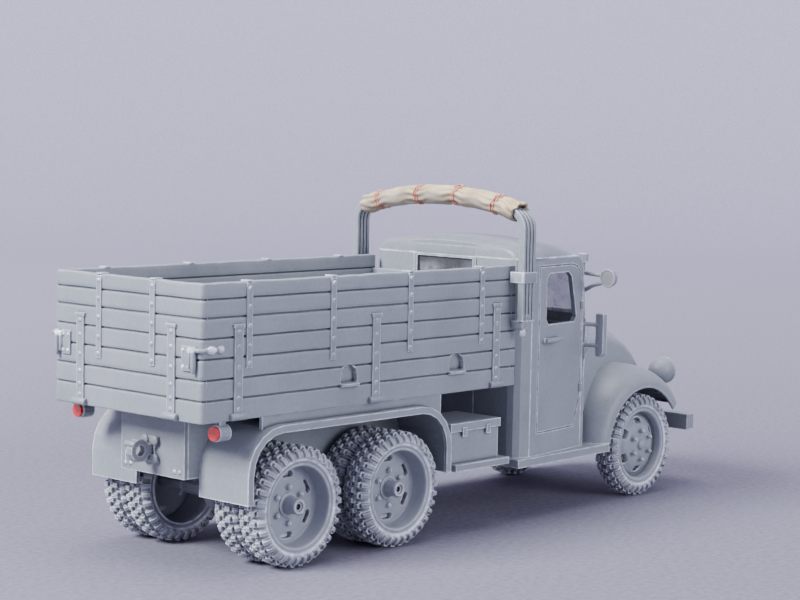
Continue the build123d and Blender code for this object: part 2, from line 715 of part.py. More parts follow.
def toolbox():
    """A closed box beside the frame, with an overhanging lid, two tabs and a step under it."""
    x0, x1 = GUARD_FRONT_X + TOOLBOX_AHEAD_OF_GUARD, CAB_REAR_X - TOOLBOX_BEHIND_CAB
    z0 = RAIL_BOTTOM_Z - TOOLBOX_BELOW_RAIL
    lid_z = z0 + TOOLBOX_HEIGHT
    lid_y = TOOLBOX_OUTER_Y + LID_OVERHANG
    box = block(x0, x1, BEARER_Y, TOOLBOX_OUTER_Y, z0, lid_z)
    box += block(x0 - LID_OVERHANG, x1 + LID_OVERHANG, BEARER_Y, lid_y, lid_z, lid_z + LID_HEIGHT)
    tab_y = lid_y + LID_TAB_THICKNESS
    for x in (x0 + LID_TAB_INSET, x1 - LID_TAB_INSET):
        box += block(x - LID_TAB_WIDTH / 2, x + LID_TAB_WIDTH / 2, TOOLBOX_OUTER_Y, tab_y,
                     lid_z - LID_TAB_DROP, lid_z + LID_HEIGHT / 2)
    return box + block(x0, x1 + STEP_AHEAD, BEARER_Y + STEP_INNER_INSET, TOOLBOX_OUTER_Y + STEP_REACH,
                       z0 - STEP_THICKNESS, z0)


def tail_lamp():
    """A round lamp hung from the bed's floor by a short lug, and its lens."""
    x, y, z = TAIL_LAMP_X, HALF_BED - TAIL_LAMP_INSET, BED_BOTTOM_Z - TAIL_LAMP_DROP
    middle = x + TAIL_LAMP_LENGTH / 2
    body = rod((x, y, z), (x + TAIL_LAMP_LENGTH, y, z), TAIL_LAMP_RADIUS, LAMP_SIDES)
    body += block(middle - TAIL_LUG_LENGTH / 2, middle + TAIL_LUG_LENGTH / 2, y - TAIL_LUG_WIDTH / 2,
                  y + TAIL_LUG_WIDTH / 2, z, BED_BOTTOM_Z)
    return body, rod((x - TAIL_LENS_DEPTH, y, z), (x, y, z), TAIL_LENS_RADIUS, LAMP_SIDES)


nodes["mudguard_left"] = mudguard()
nodes["mudguard_right"] = other_side(nodes["mudguard_left"])
nodes["toolbox_left"] = toolbox()
nodes["toolbox_right"] = other_side(nodes["toolbox_left"])
lamp_body, lamp_lens = tail_lamp()
nodes["tail_lamps"] = both_sides(lamp_body)
nodes["tail_lamp_lenses"] = both_sides(lamp_lens)


# Tilt bows and the rolled tilt

BOW_REAR_X = BED_LENGTH - BOW_BEHIND_FRONT
BOW_FRONT_X = BOW_REAR_X + (BOW_COUNT - 1) * BOW_PITCH + BOW_DEPTH
BOW_MIDDLE_X = (BOW_REAR_X + BOW_FRONT_X) / 2
BOW_HALF_WIDTH = HALF_BED + BOW_OUTSIDE_BED
BOW_INNER_Y = BOW_HALF_WIDTH - BOW_THICKNESS
BOW_FOOT_Z = BED_TOP_Z - BOW_FOOT_DROP
ARCH_TOP_Z = CAB_TOP_Z + ARCH_ABOVE_CAB
ARCH_CENTRE_Z = ARCH_TOP_Z - ARCH_RADIUS


def bow_ring(inset, drop, x0, x1):
    """A bow's outer block, made smaller all round by the inset and longer below by the drop."""
    grow = BOW_THICKNESS / 2 - inset
    face = arched_outline(BOW_HALF_WIDTH - inset, BOW_FOOT_Z - drop, ARCH_TOP_Z + grow, ARCH_RADIUS + grow,
                          BOW_BEND - inset, ARCH_STEPS)
    return along(face, x0, x1)


def tilt_bows():
    """The bows, folded together one in front of the other."""
    bows = Part()
    for index in range(BOW_COUNT):
        x = BOW_REAR_X + index * BOW_PITCH
        bows += bow_ring(0, 0, x, x + BOW_DEPTH) - bow_ring(BOW_THICKNESS, BOW_THICKNESS, x, x + BOW_DEPTH)
    return bows


def bow_bracket():
    """Socket and clamp that hold the right feet of the bows on the side board."""
    outer, inner = -BOW_HALF_WIDTH, -BOW_INNER_Y
    z0 = BOW_FOOT_Z - SOCKET_HEIGHT
    foot = plan_prism([(BOW_REAR_X, outer), (BOW_FRONT_X, outer), (BOW_FRONT_X, inner), (BED_LENGTH, inner),
                       (BED_LENGTH, -HALF_BED), (BOW_REAR_X, -HALF_BED)], z0, BOW_FOOT_Z)
    z1 = BED_TOP_Z - CLAMP_DROP
    pad = block(BOW_REAR_X, BED_LENGTH, inner, -HALF_BED, z1 - CLAMP_HEIGHT, z1)
    band = block(BOW_REAR_X, BOW_FRONT_X, outer - CLAMP_THICKNESS, outer, z1 - CLAMP_HEIGHT, z1)
    return foot + pad + band


def arch_loft(half_depth, half_height, places):
    """An oval section with flat facets, lofted along the bows' arch through places across the truck."""
    rings = []
    for y in places:
        angle = math.asin(y / ARCH_RADIUS)
        middle = (BOW_MIDDLE_X, y, ARCH_CENTRE_Z + ARCH_RADIUS * math.cos(angle))
        plane = Plane(origin=middle, x_dir=(1, 0, 0), z_dir=(0, math.cos(angle), -math.sin(angle)))
        circle = arc_points((0, 0), 1, 0, 360, ROLL_SIDES)[:-1]
        rings.append(ring_on(plane, [(half_depth * u, half_height * v) for u, v in circle]))
    return facet_loft(rings)


nodes["tilt_bows"] = tilt_bows()
nodes["tilt_bow_brackets"] = both_sides(bow_bracket())
roll_places = spread(-ROLL_HALF_SPAN, ROLL_HALF_SPAN, ARCH_STEPS + 1)
full_roll = arch_loft(ROLL_HALF_DEPTH, ROLL_HALF_HEIGHT, roll_places)
tunnel = bow_ring(-SNUG, 0, BOW_REAR_X - SNUG, BOW_FRONT_X + SNUG)
tunnel -= bow_ring(BOW_THICKNESS + SNUG, SNUG, BOW_REAR_X - SNUG, BOW_FRONT_X + SNUG)
nodes["tilt_roll"] = full_roll - tunnel
ties = Part()
for tie_y in TIES_Y:
    ends = (tie_y - TIE_WIDTH / 2, tie_y + TIE_WIDTH / 2)
    band = arch_loft(ROLL_HALF_DEPTH + TIE_THICKNESS, ROLL_HALF_HEIGHT + TIE_THICKNESS, ends)
    ties += band - full_roll
nodes["tilt_ties"] = ties


# Cab

def cab_block(inset, drop=0.0):
    """The cab as a full block, its walls and roof moved inwards by the inset."""
    rear, front = CAB_REAR_X + inset, CAB_FRONT_X - inset
    half, front_half = CAB_HALF_WIDTH - inset, CAB_FRONT_HALF_WIDTH - inset
    bottom, top = CAB_BOTTOM_Z - drop, CAB_TOP_Z - inset
    straight = CAB_REAR_X + CAB_STRAIGHT
    left = arc_points((rear + CAB_CORNER, half - CAB_CORNER), CAB_CORNER, 90, 180, CORNER_STEPS)
    right = [(x, -y) for x, y in reversed(left)]
    plan = plan_prism([(front, -front_half), (front, front_half), (straight, half), *left, *right,
                       (straight, -half)], bottom, top)
    slope_length, slope_drop = ROOF_REAR_SLOPE
    nose = [(front - behind, top - below) for behind, below in reversed(ROOF_FRONT)]
    profile = side_prism([(rear, bottom), (front, bottom), *nose, (rear + slope_length, top),
                          (rear, top - slope_drop)], -CAB_HALF_WIDTH, CAB_HALF_WIDTH)
    end = arched_outline(half, bottom, top, ROOF_RADIUS - inset, ROOF_SHOULDER, ROOF_STEPS)
    return plan & profile & along(end, CAB_REAR_X, CAB_FRONT_X)


def cab_half_at(x):
    """Half of the cab's width at a place along it."""
    share = (x - CAB_REAR_X - CAB_STRAIGHT) / (CAB_LENGTH - CAB_STRAIGHT)
    return CAB_HALF_WIDTH - share * (CAB_HALF_WIDTH - CAB_FRONT_HALF_WIDTH)


DOOR_REAR_X = CAB_REAR_X + DOOR_REAR_INSET
DOOR_FRONT_X = CAB_FRONT_X - DOOR_FRONT_INSET
WINDOW_TOP_Z = CAB_TOP_Z - WINDOW_DROP
WINDOW_BOTTOM_Z = WINDOW_TOP_Z - WINDOW_HEIGHT


def door_outline(inset):
    """The door seen from the side, its lower front corner cut and its upper one rounded."""
    x0, x1 = DOOR_REAR_X + inset, DOOR_FRONT_X - inset
    z0, z1 = CAB_BOTTOM_Z + DOOR_LIFT + inset, CAB_TOP_Z - DOOR_DROP - inset
    corner = arc_points((x1 - DOOR_CORNER, z1 - DOOR_CORNER), DOOR_CORNER, 0, 90, CORNER_STEPS)
    return [(x0, z0), (x1 - DOOR_CUT_LENGTH, z0), (x1, z0 + DOOR_CUT_HEIGHT), *corner, (x0, z1)]


def window_outline():
    """The opening of the door's window seen from the side."""
    x0, x1 = DOOR_REAR_X + WINDOW_REAR_INSET, DOOR_FRONT_X - WINDOW_FRONT_INSET
    face = make_face(Polyline((x0, WINDOW_BOTTOM_Z), (x1, WINDOW_BOTTOM_Z),
                              (x1 - WINDOW_SLANT, WINDOW_TOP_Z), (x0, WINDOW_TOP_Z), close=True))
    return chamfer(face.vertices(), WINDOW_CORNER)


def rear_window():
    """The space of the rear window, through the rear wall."""
    z1 = CAB_TOP_Z - REAR_WINDOW_DROP
    return block(CAB_REAR_X - CAB_WALL, CAB_REAR_X + REAR_WALL_DEPTH, -REAR_WINDOW_HALF, REAR_WINDOW_HALF,
                 z1 - REAR_WINDOW_HEIGHT, z1)


def windscreens():
    """The spaces of the two windscreen panes, through the front wall."""
    z1 = CAB_TOP_Z - SCREEN_DROP
    return both_sides(block(CAB_FRONT_X - 2 * CAB_WALL - FRONT_WALL_DEPTH, CAB_FRONT_X + CAB_WALL,
                            SCREEN_INNER_Y, SCREEN_OUTER_Y, z1 - SCREEN_HEIGHT, z1))


def door_fittings():
    """Handle and hinges of the left door."""
    x0 = DOOR_REAR_X + HANDLE_AHEAD
    x1 = x0 + HANDLE_LENGTH
    y = cab_half_at(x1)
    bar = DOOR_HANDLE_BAR
    out = y + DOOR_HANDLE_REACH
    z = WINDOW_BOTTOM_Z - HANDLE_BELOW_WINDOW
    fittings = plan_prism([(x0, y), (x0, out), (x1, out), (x1, out - bar), (x0 + bar, out - bar),
                           (x0 + bar, y)], z - DOOR_HANDLE_HEIGHT / 2, z + DOOR_HANDLE_HEIGHT / 2)
    x, y = DOOR_FRONT_X, cab_half_at(DOOR_FRONT_X)
    for lift in HINGE_LIFTS:
        z = CAB_BOTTOM_Z + DOOR_LIFT + lift
        fittings += rod((x, y, z - HINGE_HALF_LENGTH), (x, y, z + HINGE_HALF_LENGTH), HINGE_RADIUS)
    return fittings


def cab_shell():
    """The hollow cab with its doors engraved and its windows cut."""
    outer = cab_block(0)
    shell = outer - cab_block(CAB_WALL, CAB_WALL)
    skin = outer - cab_block(GROOVE_DEPTH, CAB_WALL)
    reach = CAB_HALF_WIDTH
    ring = side_prism(door_outline(0), -reach, reach) - side_prism(door_outline(DOOR_GROOVE), -reach, reach)
    shell -= ring & skin
    shell -= across(window_outline(), -reach, reach)
    pressing = block(CAB_REAR_X - REAR_PRESSING_RAISE, CAB_REAR_X + CAB_WALL, -REAR_PRESSING_HALF,
                     REAR_PRESSING_HALF, RAIL_TOP_Z, CAB_TOP_Z - REAR_PRESSING_DROP)
    shell += pressing
    shell -= rear_window()
    shell -= windscreens()
    shell += both_sides(door_fittings() - outer)
    return shell - block(CAB_REAR_X - CAB_WALL, CAB_FRONT_X, -FRAME_TUNNEL_Y, FRAME_TUNNEL_Y,
                         CAB_BOTTOM_Z, RAIL_TOP_Z)


shell = cab_shell()
far = 2 * (BUMPER_FRONT_X + CAB_TOP_Z)
split_z = CAB_TOP_Z - ROOF_SPLIT_DROP
rear_split_x = CAB_REAR_X + REAR_WALL_DEPTH
front_split_x = CAB_FRONT_X - FRONT_WALL_DEPTH
floor_top = RAIL_TOP_Z + CAB_WALL
nodes["cab_roof"] = shell & block(0, far, -far, far, split_z, far)
nodes["cab_floor"] = cab_block(CAB_WALL) & block(0, far, -far, far, RAIL_TOP_Z, floor_top)
nodes["cab_rear_wall"] = shell & block(0, rear_split_x, -far, far, 0, split_z)
nodes["cab_front_wall"] = shell & block(front_split_x, far, -far, far, 0, split_z)
nodes["cab_side_left"] = shell & block(rear_split_x, front_split_x, 0, far, 0, split_z)
nodes["cab_side_right"] = other_side(nodes["cab_side_left"])
pane_skin = cab_block(GLASS_THICKNESS) - cab_block(2 * GLASS_THICKNESS)
nodes["cab_glass"] = (rear_window() + windscreens()) & pane_skin


def cab_seat():
    """The bench and its back, as one profile carried across the cab."""
    x0, z0 = CAB_REAR_X + SEAT_AHEAD, floor_top
    x1, x2 = x0 + SEAT_BACK_THICKNESS, x0 + SEAT_LENGTH
    z1 = z0 + SEAT_HEIGHT
    half = CAB_HALF_WIDTH - SEAT_SIDE_GAP
    return side_prism([(x0, z0), (x2, z0), (x2, z1), (x1, z1), (x1, z1 + SEAT_BACK_HEIGHT),
                       (x0, z1 + SEAT_BACK_HEIGHT)], -half, half)


def dashboard():
    """The dashboard with the steering column and its wheel."""
    half = CAB_FRONT_HALF_WIDTH - DASH_SIDE_GAP
    x1 = CAB_FRONT_X - CAB_WALL
    x0 = x1 - DASH_LENGTH
    z1 = CAB_TOP_Z - SCREEN_DROP - SCREEN_HEIGHT - DASH_BELOW_SCREEN
    dash = block(x0, x1, -half, half, z1 - DASH_HEIGHT, z1)
    z0 = z1 - DASH_HEIGHT
    hub = (x0 - STEERING_BEHIND_DASH, STEERING_Y, z0 + STEERING_RISE)
    column = rod((x0, STEERING_Y, z0 + COLUMN_RADIUS), hub, COLUMN_RADIUS)
    tilt = math.radians(STEERING_TILT)
    plane = Plane(origin=hub, z_dir=(-math.cos(tilt), 0, math.sin(tilt)))
    outline = polygon(STEERING_RADIUS, LAMP_SIDES) - polygon(STEERING_RADIUS - STEERING_RIM, LAMP_SIDES)
    outline += Rectangle(2 * STEERING_RADIUS - STEERING_RIM, STEERING_RIM)
    return dash + column + extrude(plane * outline, STEERING_THICKNESS)


nodes["cab_seat"] = cab_seat()
nodes["dashboard"] = dashboard()


# Bonnet, fenders and the front end

def bonnet_section(x, half, shoulder, top, bottom):
    """One cross-section of the bonnet: two sides, two shoulders and a crown."""
    r = BONNET_SHOULDER
    cut = r * (1 - math.sqrt(1 / 2))
    left = [(half, bottom), (half, shoulder - r), (half - cut, shoulder - cut), (half - r, shoulder),
            ((half - r) / 2, shoulder + BONNET_CROWN_SHARE * (top - shoulder))]
    right = [(-y, z) for y, z in reversed(left)]
    plane = Plane(origin=(x, 0, 0), x_dir=(0, 1, 0), z_dir=(1, 0, 0))
    return ring_on(plane, [*left, (0, top), *right])


def bonnet_block(inset, drop=0.0):
    """The bonnet as a full block, its sides, top and nose moved inwards by the inset."""
    sections = []
    for ahead, half, shoulder, top in BONNET_SECTIONS:
        x = CAB_FRONT_X + ahead - (inset if ahead else 0)
        sections.append(bonnet_section(x, half - inset, RAIL_TOP_Z + shoulder - inset,
                                       RAIL_TOP_Z + top - inset, RAIL_TOP_Z - drop))
    return facet_loft(sections)


def bonnet():
    """The hollow bonnet, with a slotted grille on its nose and louvres in its sides."""
    full = bonnet_block(0)
    shell = full - bonnet_block(BONNET_WALL, BONNET_WALL)
    nose_x = CAB_FRONT_X + BONNET_SECTIONS[-1][0]
    slots = Part()
    for y in spread(-1, 1, GRILLE_SLOTS):
        y *= GRILLE_PITCH * (GRILLE_SLOTS - 1) / 2
        slots += block(nose_x - GRILLE_LENGTH, nose_x, y - GRILLE_SLOT_WIDTH / 2, y + GRILLE_SLOT_WIDTH / 2,
                       RAIL_TOP_Z + GRILLE_SLOT_WIDTH, CAB_TOP_Z)
    shell -= slots & (full - bonnet_block(GRILLE_DEPTH, GRILLE_DEPTH))
    louvres = Part()
    z1 = RAIL_TOP_Z + BONNET_SECTIONS[1][2] - LOUVRE_DROP
    for index in range(LOUVRES):
        x = CAB_FRONT_X + LOUVRE_AHEAD_OF_CAB + index * LOUVRE_PITCH
        louvres += block(x, x + LOUVRE_WIDTH, -CAB_HALF_WIDTH, CAB_HALF_WIDTH, z1 - LOUVRE_HEIGHT, z1)
    return full, shell - (louvres & (full - bonnet_block(LOUVRE_DEPTH, LOUVRE_DEPTH)))


def fender(block_to_clear):
    """The left front fender: a rounded section turned about the front axle."""
    bend_y = FENDER_EDGE_Y - FENDER_BEND
    edge_radius = FENDER_CROWN_RADIUS - FENDER_BEND
    inner_y = RAIL_Y + RAIL_WIDTH / 2 + FENDER_RAIL_GAP
    outer = arc_points((bend_y, edge_radius), FENDER_BEND, 90, 0, CORNER_STEPS)
    inner = arc_points((bend_y, edge_radius), FENDER_BEND - FENDER_THICKNESS, 0, 90, CORNER_STEPS)
    section = [(inner_y, FENDER_CROWN_RADIUS), *outer, *inner,
               (inner_y, FENDER_CROWN_RADIUS - FENDER_THICKNESS)]
    rings = []
    for index in range(FENDER_STEPS + 1):
        angle = math.radians(FENDER_FRONT_ANGLE + (180 - FENDER_FRONT_ANGLE) * index / FENDER_STEPS)
        facing = (math.sin(angle), 0, -math.cos(angle))
        plane = Plane(origin=(FRONT_AXLE_X, 0, TYRE_RADIUS), x_dir=(0, 1, 0), z_dir=facing)
        rings.append(ring_on(plane, section))
    reach = 2 * FENDER_CROWN_RADIUS
    kept = block(CAB_FRONT_X, FRONT_AXLE_X + reach, 0, reach, CAB_BOTTOM_Z, TYRE_RADIUS + reach)
    return (facet_loft(rings) & kept) - block_to_clear


def fender_crown():
    """Everything under the crown of the left fender, out to its edge."""
    plane = Plane(origin=(FRONT_AXLE_X, FENDER_EDGE_Y, TYRE_RADIUS), x_dir=(1, 0, 0), z_dir=(0, -1, 0))
    arc = arc_points((0, 0), FENDER_CROWN_RADIUS, FENDER_FRONT_ANGLE, 180, FENDER_STEPS)
    return extrude(plane * make_face(Polyline((0, 0), *arc, close=True)), FENDER_EDGE_Y)


def running_board():
    """The left running board, under the cab's edge and up to the fender."""
    x0, x1 = CAB_REAR_X - BOARD_BEHIND_CAB, FRONT_AXLE_X - FENDER_CROWN_RADIUS + FENDER_BEND
    return plan_prism([(x0, BOARD_INNER_Y), (x0, BOARD_OUTER_Y), (x1, FENDER_EDGE_Y), (x1, BOARD_INNER_Y)],
                      CAB_BOTTOM_Z - BOARD_THICKNESS, CAB_BOTTOM_Z)


def headlamp():
    """A bowl-shaped lamp that faces forward, on a foot on the fender's crown, and its lens."""
    distance = FENDER_CROWN_RADIUS + HEADLAMP_CLEAR
    x = FRONT_AXLE_X + distance * math.cos(math.radians(HEADLAMP_ANGLE))
    z = TYRE_RADIUS + distance * math.sin(math.radians(HEADLAMP_ANGLE))
    centre = (x, HEADLAMP_Y, z)
    rings = [(share * HEADLAMP_HALF_LENGTH, size * HEADLAMP_RADIUS) for share, size in HEADLAMP_BOWL]
    bowl = faceted(rings, centre, (1, 0, 0), LAMP_SIDES)
    long_half, wide_half = HEADLAMP_FOOT_LENGTH / 2, HEADLAMP_FOOT_WIDTH / 2
    foot = block(x - long_half, x + long_half, HEADLAMP_Y - wide_half, HEADLAMP_Y + wide_half,
                 z - 2 * HEADLAMP_RADIUS, z)
    front = x + HEADLAMP_HALF_LENGTH
    lens = rod((front, HEADLAMP_Y, z), (front + HEADLAMP_LENS_DEPTH, HEADLAMP_Y, z),
               HEADLAMP_RADIUS - HEADLAMP_LENS_INSET, LAMP_SIDES)
    return (bowl + foot) - fender_crown(), lens


def round_mirror(cab):
    """A round mirror on two arms from the left front pillar, and its face."""
    x, y = CAB_FRONT_X - MIRROR_BEHIND_FRONT, CAB_FRONT_HALF_WIDTH + MIRROR_OUTSIDE
    z = CAB_TOP_Z - MIRROR_DROP
    mirror_body = rod((x, y, z), (x + MIRROR_DEPTH, y, z), MIRROR_RADIUS, LAMP_SIDES)
    arm_x = x + MIRROR_DEPTH / 2
    arm_z = z + MIRROR_ARM_RADIUS
    root_y = CAB_FRONT_HALF_WIDTH - INTO_CAB
    for spread_down in (0, MIRROR_ARM_SPREAD):
        root = (x + MIRROR_ARM_RADIUS, root_y, arm_z - spread_down)
        mirror_body += rod(root, (arm_x, y, arm_z - spread_down / 2), MIRROR_ARM_RADIUS)
    face = rod((x - MIRROR_FACE_THICKNESS, y, z), (x, y, z), MIRROR_FACE_RADIUS, LAMP_SIDES)
    return mirror_body - cab, face


def indicator(cab):
    """A flat upright indicator box with a cut lower corner, on two arms from the front pillar."""
    y0 = CAB_FRONT_HALF_WIDTH + INDICATOR_OUTSIDE
    y1 = y0 + INDICATOR_WIDTH
    z1 = CAB_TOP_Z - INDICATOR_DROP
    z0 = z1 - INDICATOR_HEIGHT
    cut = INDICATOR_CUT * INDICATOR_WIDTH
    outline = [(y0, z0), (y1 - cut, z0), (y1, z0 + cut), (y1, z1), (y0, z1)]
    box = along(make_face(Polyline(*outline, close=True)), CAB_FRONT_X, CAB_FRONT_X + INDICATOR_LENGTH)
    x = CAB_FRONT_X - INDICATOR_ARM_RADIUS
    for z in (z0 + INDICATOR_ARM_INSET, z1 - INDICATOR_ARM_INSET):
        box += rod((x - INDICATOR_ARM_RADIUS, CAB_FRONT_HALF_WIDTH - INTO_CAB, z),
                   (CAB_FRONT_X + INDICATOR_ARM_RADIUS, y0 + cut, z), INDICATOR_ARM_RADIUS)
    return box - cab


def roof_marker(cab):
    """A small cup-shaped marker lamp on a bent stem at the front corner of the roof."""
    x, y = CAB_FRONT_X - MARKER_BEHIND_FRONT, CAB_FRONT_HALF_WIDTH - MARKER_INSET
    z1 = CAB_TOP_Z - MARKER_DROP
    z0 = z1 - MARKER_HEIGHT
    half = MARKER_RADIUS / 2
    cup = rod((x, y, z0), (x, y, z1), MARKER_RADIUS)
    stem = side_prism([(x - INTO_CAB, z0 - MARKER_STEM), (x + half, z0 - MARKER_STEM), (x + half, z0),
                       (x - half, z0), (x - half, z0 - half), (x - INTO_CAB, z0 - half)],
                      y - half / 2, y + half / 2)
    return (cup + stem) - cab


def bumper():
    """The front bumper, a bar with broken edges."""
    bar = block(BUMPER_REAR_X, BUMPER_FRONT_X, -BUMPER_HALF_WIDTH, BUMPER_HALF_WIDTH,
                BUMPER_BOTTOM_Z, BUMPER_BOTTOM_Z + BUMPER_HEIGHT)
    return chamfer(bar.edges().group_by(Axis.X)[-1], BUMPER_CHAMFER)


full_bonnet, nodes["bonnet"] = bonnet()
nodes["fender_left"] = fender(full_bonnet)
nodes["fender_right"] = other_side(nodes["fender_left"])
nodes["running_board_left"] = running_board()
nodes["running_board_right"] = other_side(nodes["running_board_left"])
lamp, lens = headlamp()
nodes["headlamps"] = both_sides(lamp)
nodes["headlamp_lenses"] = both_sides(lens)
nodes["bumper"] = bumper()
full_cab = cab_block(0)
mirror_body, mirror_face = round_mirror(full_cab)
nodes["round_mirrors"] = both_sides(mirror_body)
nodes["mirror_faces"] = both_sides(mirror_face)
nodes["indicators"] = both_sides(indicator(full_cab))
nodes["roof_markers"] = both_sides(roof_marker(full_cab))


# Axles and springs

def axle(x, beam_end, stub_end):
    """A beam with a round housing in the middle and a turned stub at each end."""
    beam = wheel_bar(x, -beam_end, beam_end, BEAM_RADIUS, SMALL_SIDES)
    beam += both_sides(wheel_bar(x, beam_end, stub_end, STUB_RADIUS, BEARING_SIDES))
    rings = [(-HOUSING_LENGTH, HOUSING_END_RADIUS), (-HOUSING_FLAT, HOUSING_RADIUS),
             (HOUSING_FLAT, HOUSING_RADIUS), (HOUSING_LENGTH, HOUSING_END_RADIUS)]
    return beam + faceted(rings, (x, 0, TYRE_RADIUS), (0, 1, 0), HUB_SIDES)


def steering_gear(x, y):
    """Kingpins at both ends of the front beam and the track rod behind it."""
    half = KINGPIN_HEIGHT / 2
    rod_x = x - TRACK_ROD_BEHIND
    arm = rod((x, y, TYRE_RADIUS), (rod_x, y, TYRE_RADIUS), TRACK_ROD_RADIUS)
    knuckle = rod((x, y, TYRE_RADIUS - half), (x, y, TYRE_RADIUS + half), KINGPIN_RADIUS) + arm
    return both_sides(knuckle) + rod((rod_x, -y, TYRE_RADIUS), (rod_x, y, TYRE_RADIUS), TRACK_ROD_RADIUS)


def leaf_spring(x, half_length, leaves, longest_low):
    """A bundle of leaves between an axle's beam and the left rail, each shorter than the next."""
    y0, y1 = RAIL_Y - RAIL_WIDTH / 2, RAIL_Y + RAIL_WIDTH / 2
    z0 = TYRE_RADIUS + BEAM_RADIUS
    leaf = (RAIL_BOTTOM_Z - z0) / leaves
    spring = Part()
    for index in range(leaves):
        rank = index if longest_low else leaves - 1 - index
        half = half_length * (1 - rank / (leaves + 1))
        spring += block(x - half, x + half, y0, y1, z0 + index * leaf, z0 + (index + 1) * leaf)
    return spring


nodes["rear_axle"] = axle(REAR_AXLE_X, REAR_INNER_Y - BEAM_GAP, REAR_STUB_END)
nodes["middle_axle"] = axle(MIDDLE_AXLE_X, REAR_INNER_Y - BEAM_GAP, REAR_STUB_END)
front_beam_end = FRONT_INNER_Y - BEAM_GAP
nodes["front_axle"] = axle(FRONT_AXLE_X, front_beam_end, FRONT_STUB_END)
nodes["front_axle"] += steering_gear(FRONT_AXLE_X, front_beam_end - KINGPIN_RADIUS)
bogie_spring = leaf_spring(BOGIE_X, BOGIE_BASE / 2 + SPRING_OVERHANG, BOGIE_LEAVES, True)
front_spring = leaf_spring(FRONT_AXLE_X, FRONT_SPRING_HALF, FRONT_LEAVES, False)
nodes["leaf_springs"] = both_sides(bogie_spring + front_spring)
shafts = Part()
for start_x, end_x in ((REAR_AXLE_X, MIDDLE_AXLE_X), (MIDDLE_AXLE_X, FRONT_AXLE_X)):
    shafts += rod((start_x + HOUSING_RADIUS, 0, TYRE_RADIUS), (end_x - HOUSING_RADIUS, 0, TYRE_RADIUS),
                  SHAFT_RADIUS)
nodes["drive_shafts"] = shafts


# Wheels

def lug_outline(low, high, turn):
    """The outline of a toothed ring whose first lug stands about the given angle."""
    step = 360 / LUG_COUNT
    points = []
    for index in range(LUG_COUNT):
        start = step * (index - LUG_SHARE / 2) + turn
        end = start + step * LUG_SHARE
        points += arc_points((0, 0), high, start, end, 1)
        points += arc_points((0, 0), low, end, start + step, 1)
    return points


def half_tyre(x, middle, outer, turn):
    """Half of a tyre from its middle plane outwards, its lugs sloping down to the shoulder."""
    top = TYRE_RADIUS / math.cos(math.pi * LUG_SHARE / LUG_COUNT)
    rings = []
    for y, drop in ((middle, 0), (outer, TREAD_CROWN)):
        plane = Plane(origin=(x, y, TYRE_RADIUS), x_dir=(0, 0, -1), z_dir=(0, 1, 0))
        rings.append(ring_on(plane, lug_outline(top - LUG_HEIGHT - drop, top - drop, turn)))
    return facet_loft(rings)


def tyre(x, outer_y, width):
    """One tyre with two staggered rings of lugs, open in the middle for its rim."""
    middle = outer_y - width / 2
    half_step = 180 / LUG_COUNT
    body = half_tyre(x, middle, outer_y, 0) + half_tyre(x, middle, outer_y - width, half_step)
    return body - wheel_bar(x, outer_y - width, outer_y, RIM_RADIUS, RIM_SIDES)


def round_the_hub(shape, x, y, radius, turn):
    """Copies of a shape drawn at the origin, one for each nut, set round a wheel's axle."""
    copies = Part()
    for index in range(NUT_COUNT):
        angle = turn + index * 360 / NUT_COUNT
        copies += Pos(x, y, TYRE_RADIUS) * Rot(0, angle, 0) * Pos(radius, 0, 0) * shape
    return copies


def disc_slot(depth):
    """The space of one slot in a disc, longer round the hub than it is wide."""
    w, l = SLOT_WIDTH / 2, SLOT_LENGTH / 2
    outline = [(w, -l), (w, l), (-w, l - w), (-w, w - l)]
    return extrude(Plane(origin=(0, -depth, 0), x_dir=(1, 0, 0), z_dir=(0, 1, 0))
                   * make_face(Polyline(*outline, close=True)), 2 * depth)


def wheel_nut():
    """A six-sided nut that stands on a disc."""
    plane = Plane(origin=(0, -DISC_THICKNESS / 2, 0), x_dir=(1, 0, 0), z_dir=(0, 1, 0))
    return extrude(plane * polygon(NUT_RADIUS, NUT_SIDES), DISC_THICKNESS / 2 + NUT_HEIGHT)


def rear_rim(x):
    """The pair of rims of a twin wheel, dished deep, with one long hub."""
    y0, y1 = REAR_INNER_Y + RIM_INSET, REAR_TYRE_OUTER_Y - RIM_INSET
    disc = y1 - REAR_DISC_DEPTH
    inner = RIM_RADIUS - RIM_WALL
    rim = wheel_bar(x, y0, y1, RIM_RADIUS, RIM_SIDES) - wheel_bar(x, disc, y1, inner, RIM_SIDES)
    rim -= wheel_bar(x, y0, disc - DISC_THICKNESS, inner, RIM_SIDES)
    rim -= round_the_hub(disc_slot(DISC_THICKNESS), x, disc, SLOT_RING_RADIUS, 0)
    rim += round_the_hub(wheel_nut(), x, disc, NUT_RING_RADIUS, 180 / NUT_COUNT)
    rim += wheel_bar(x, disc, y1 - HUB_INSET, HUB_RADIUS, HUB_SIDES)
    rim += wheel_bar(x, y0, disc - DISC_THICKNESS, BORE_RADIUS + HUB_WALL, HUB_SIDES)
    return rim - wheel_bar(x, y0, REAR_STUB_END + RUNNING_CLEARANCE, BORE_RADIUS, BEARING_SIDES)


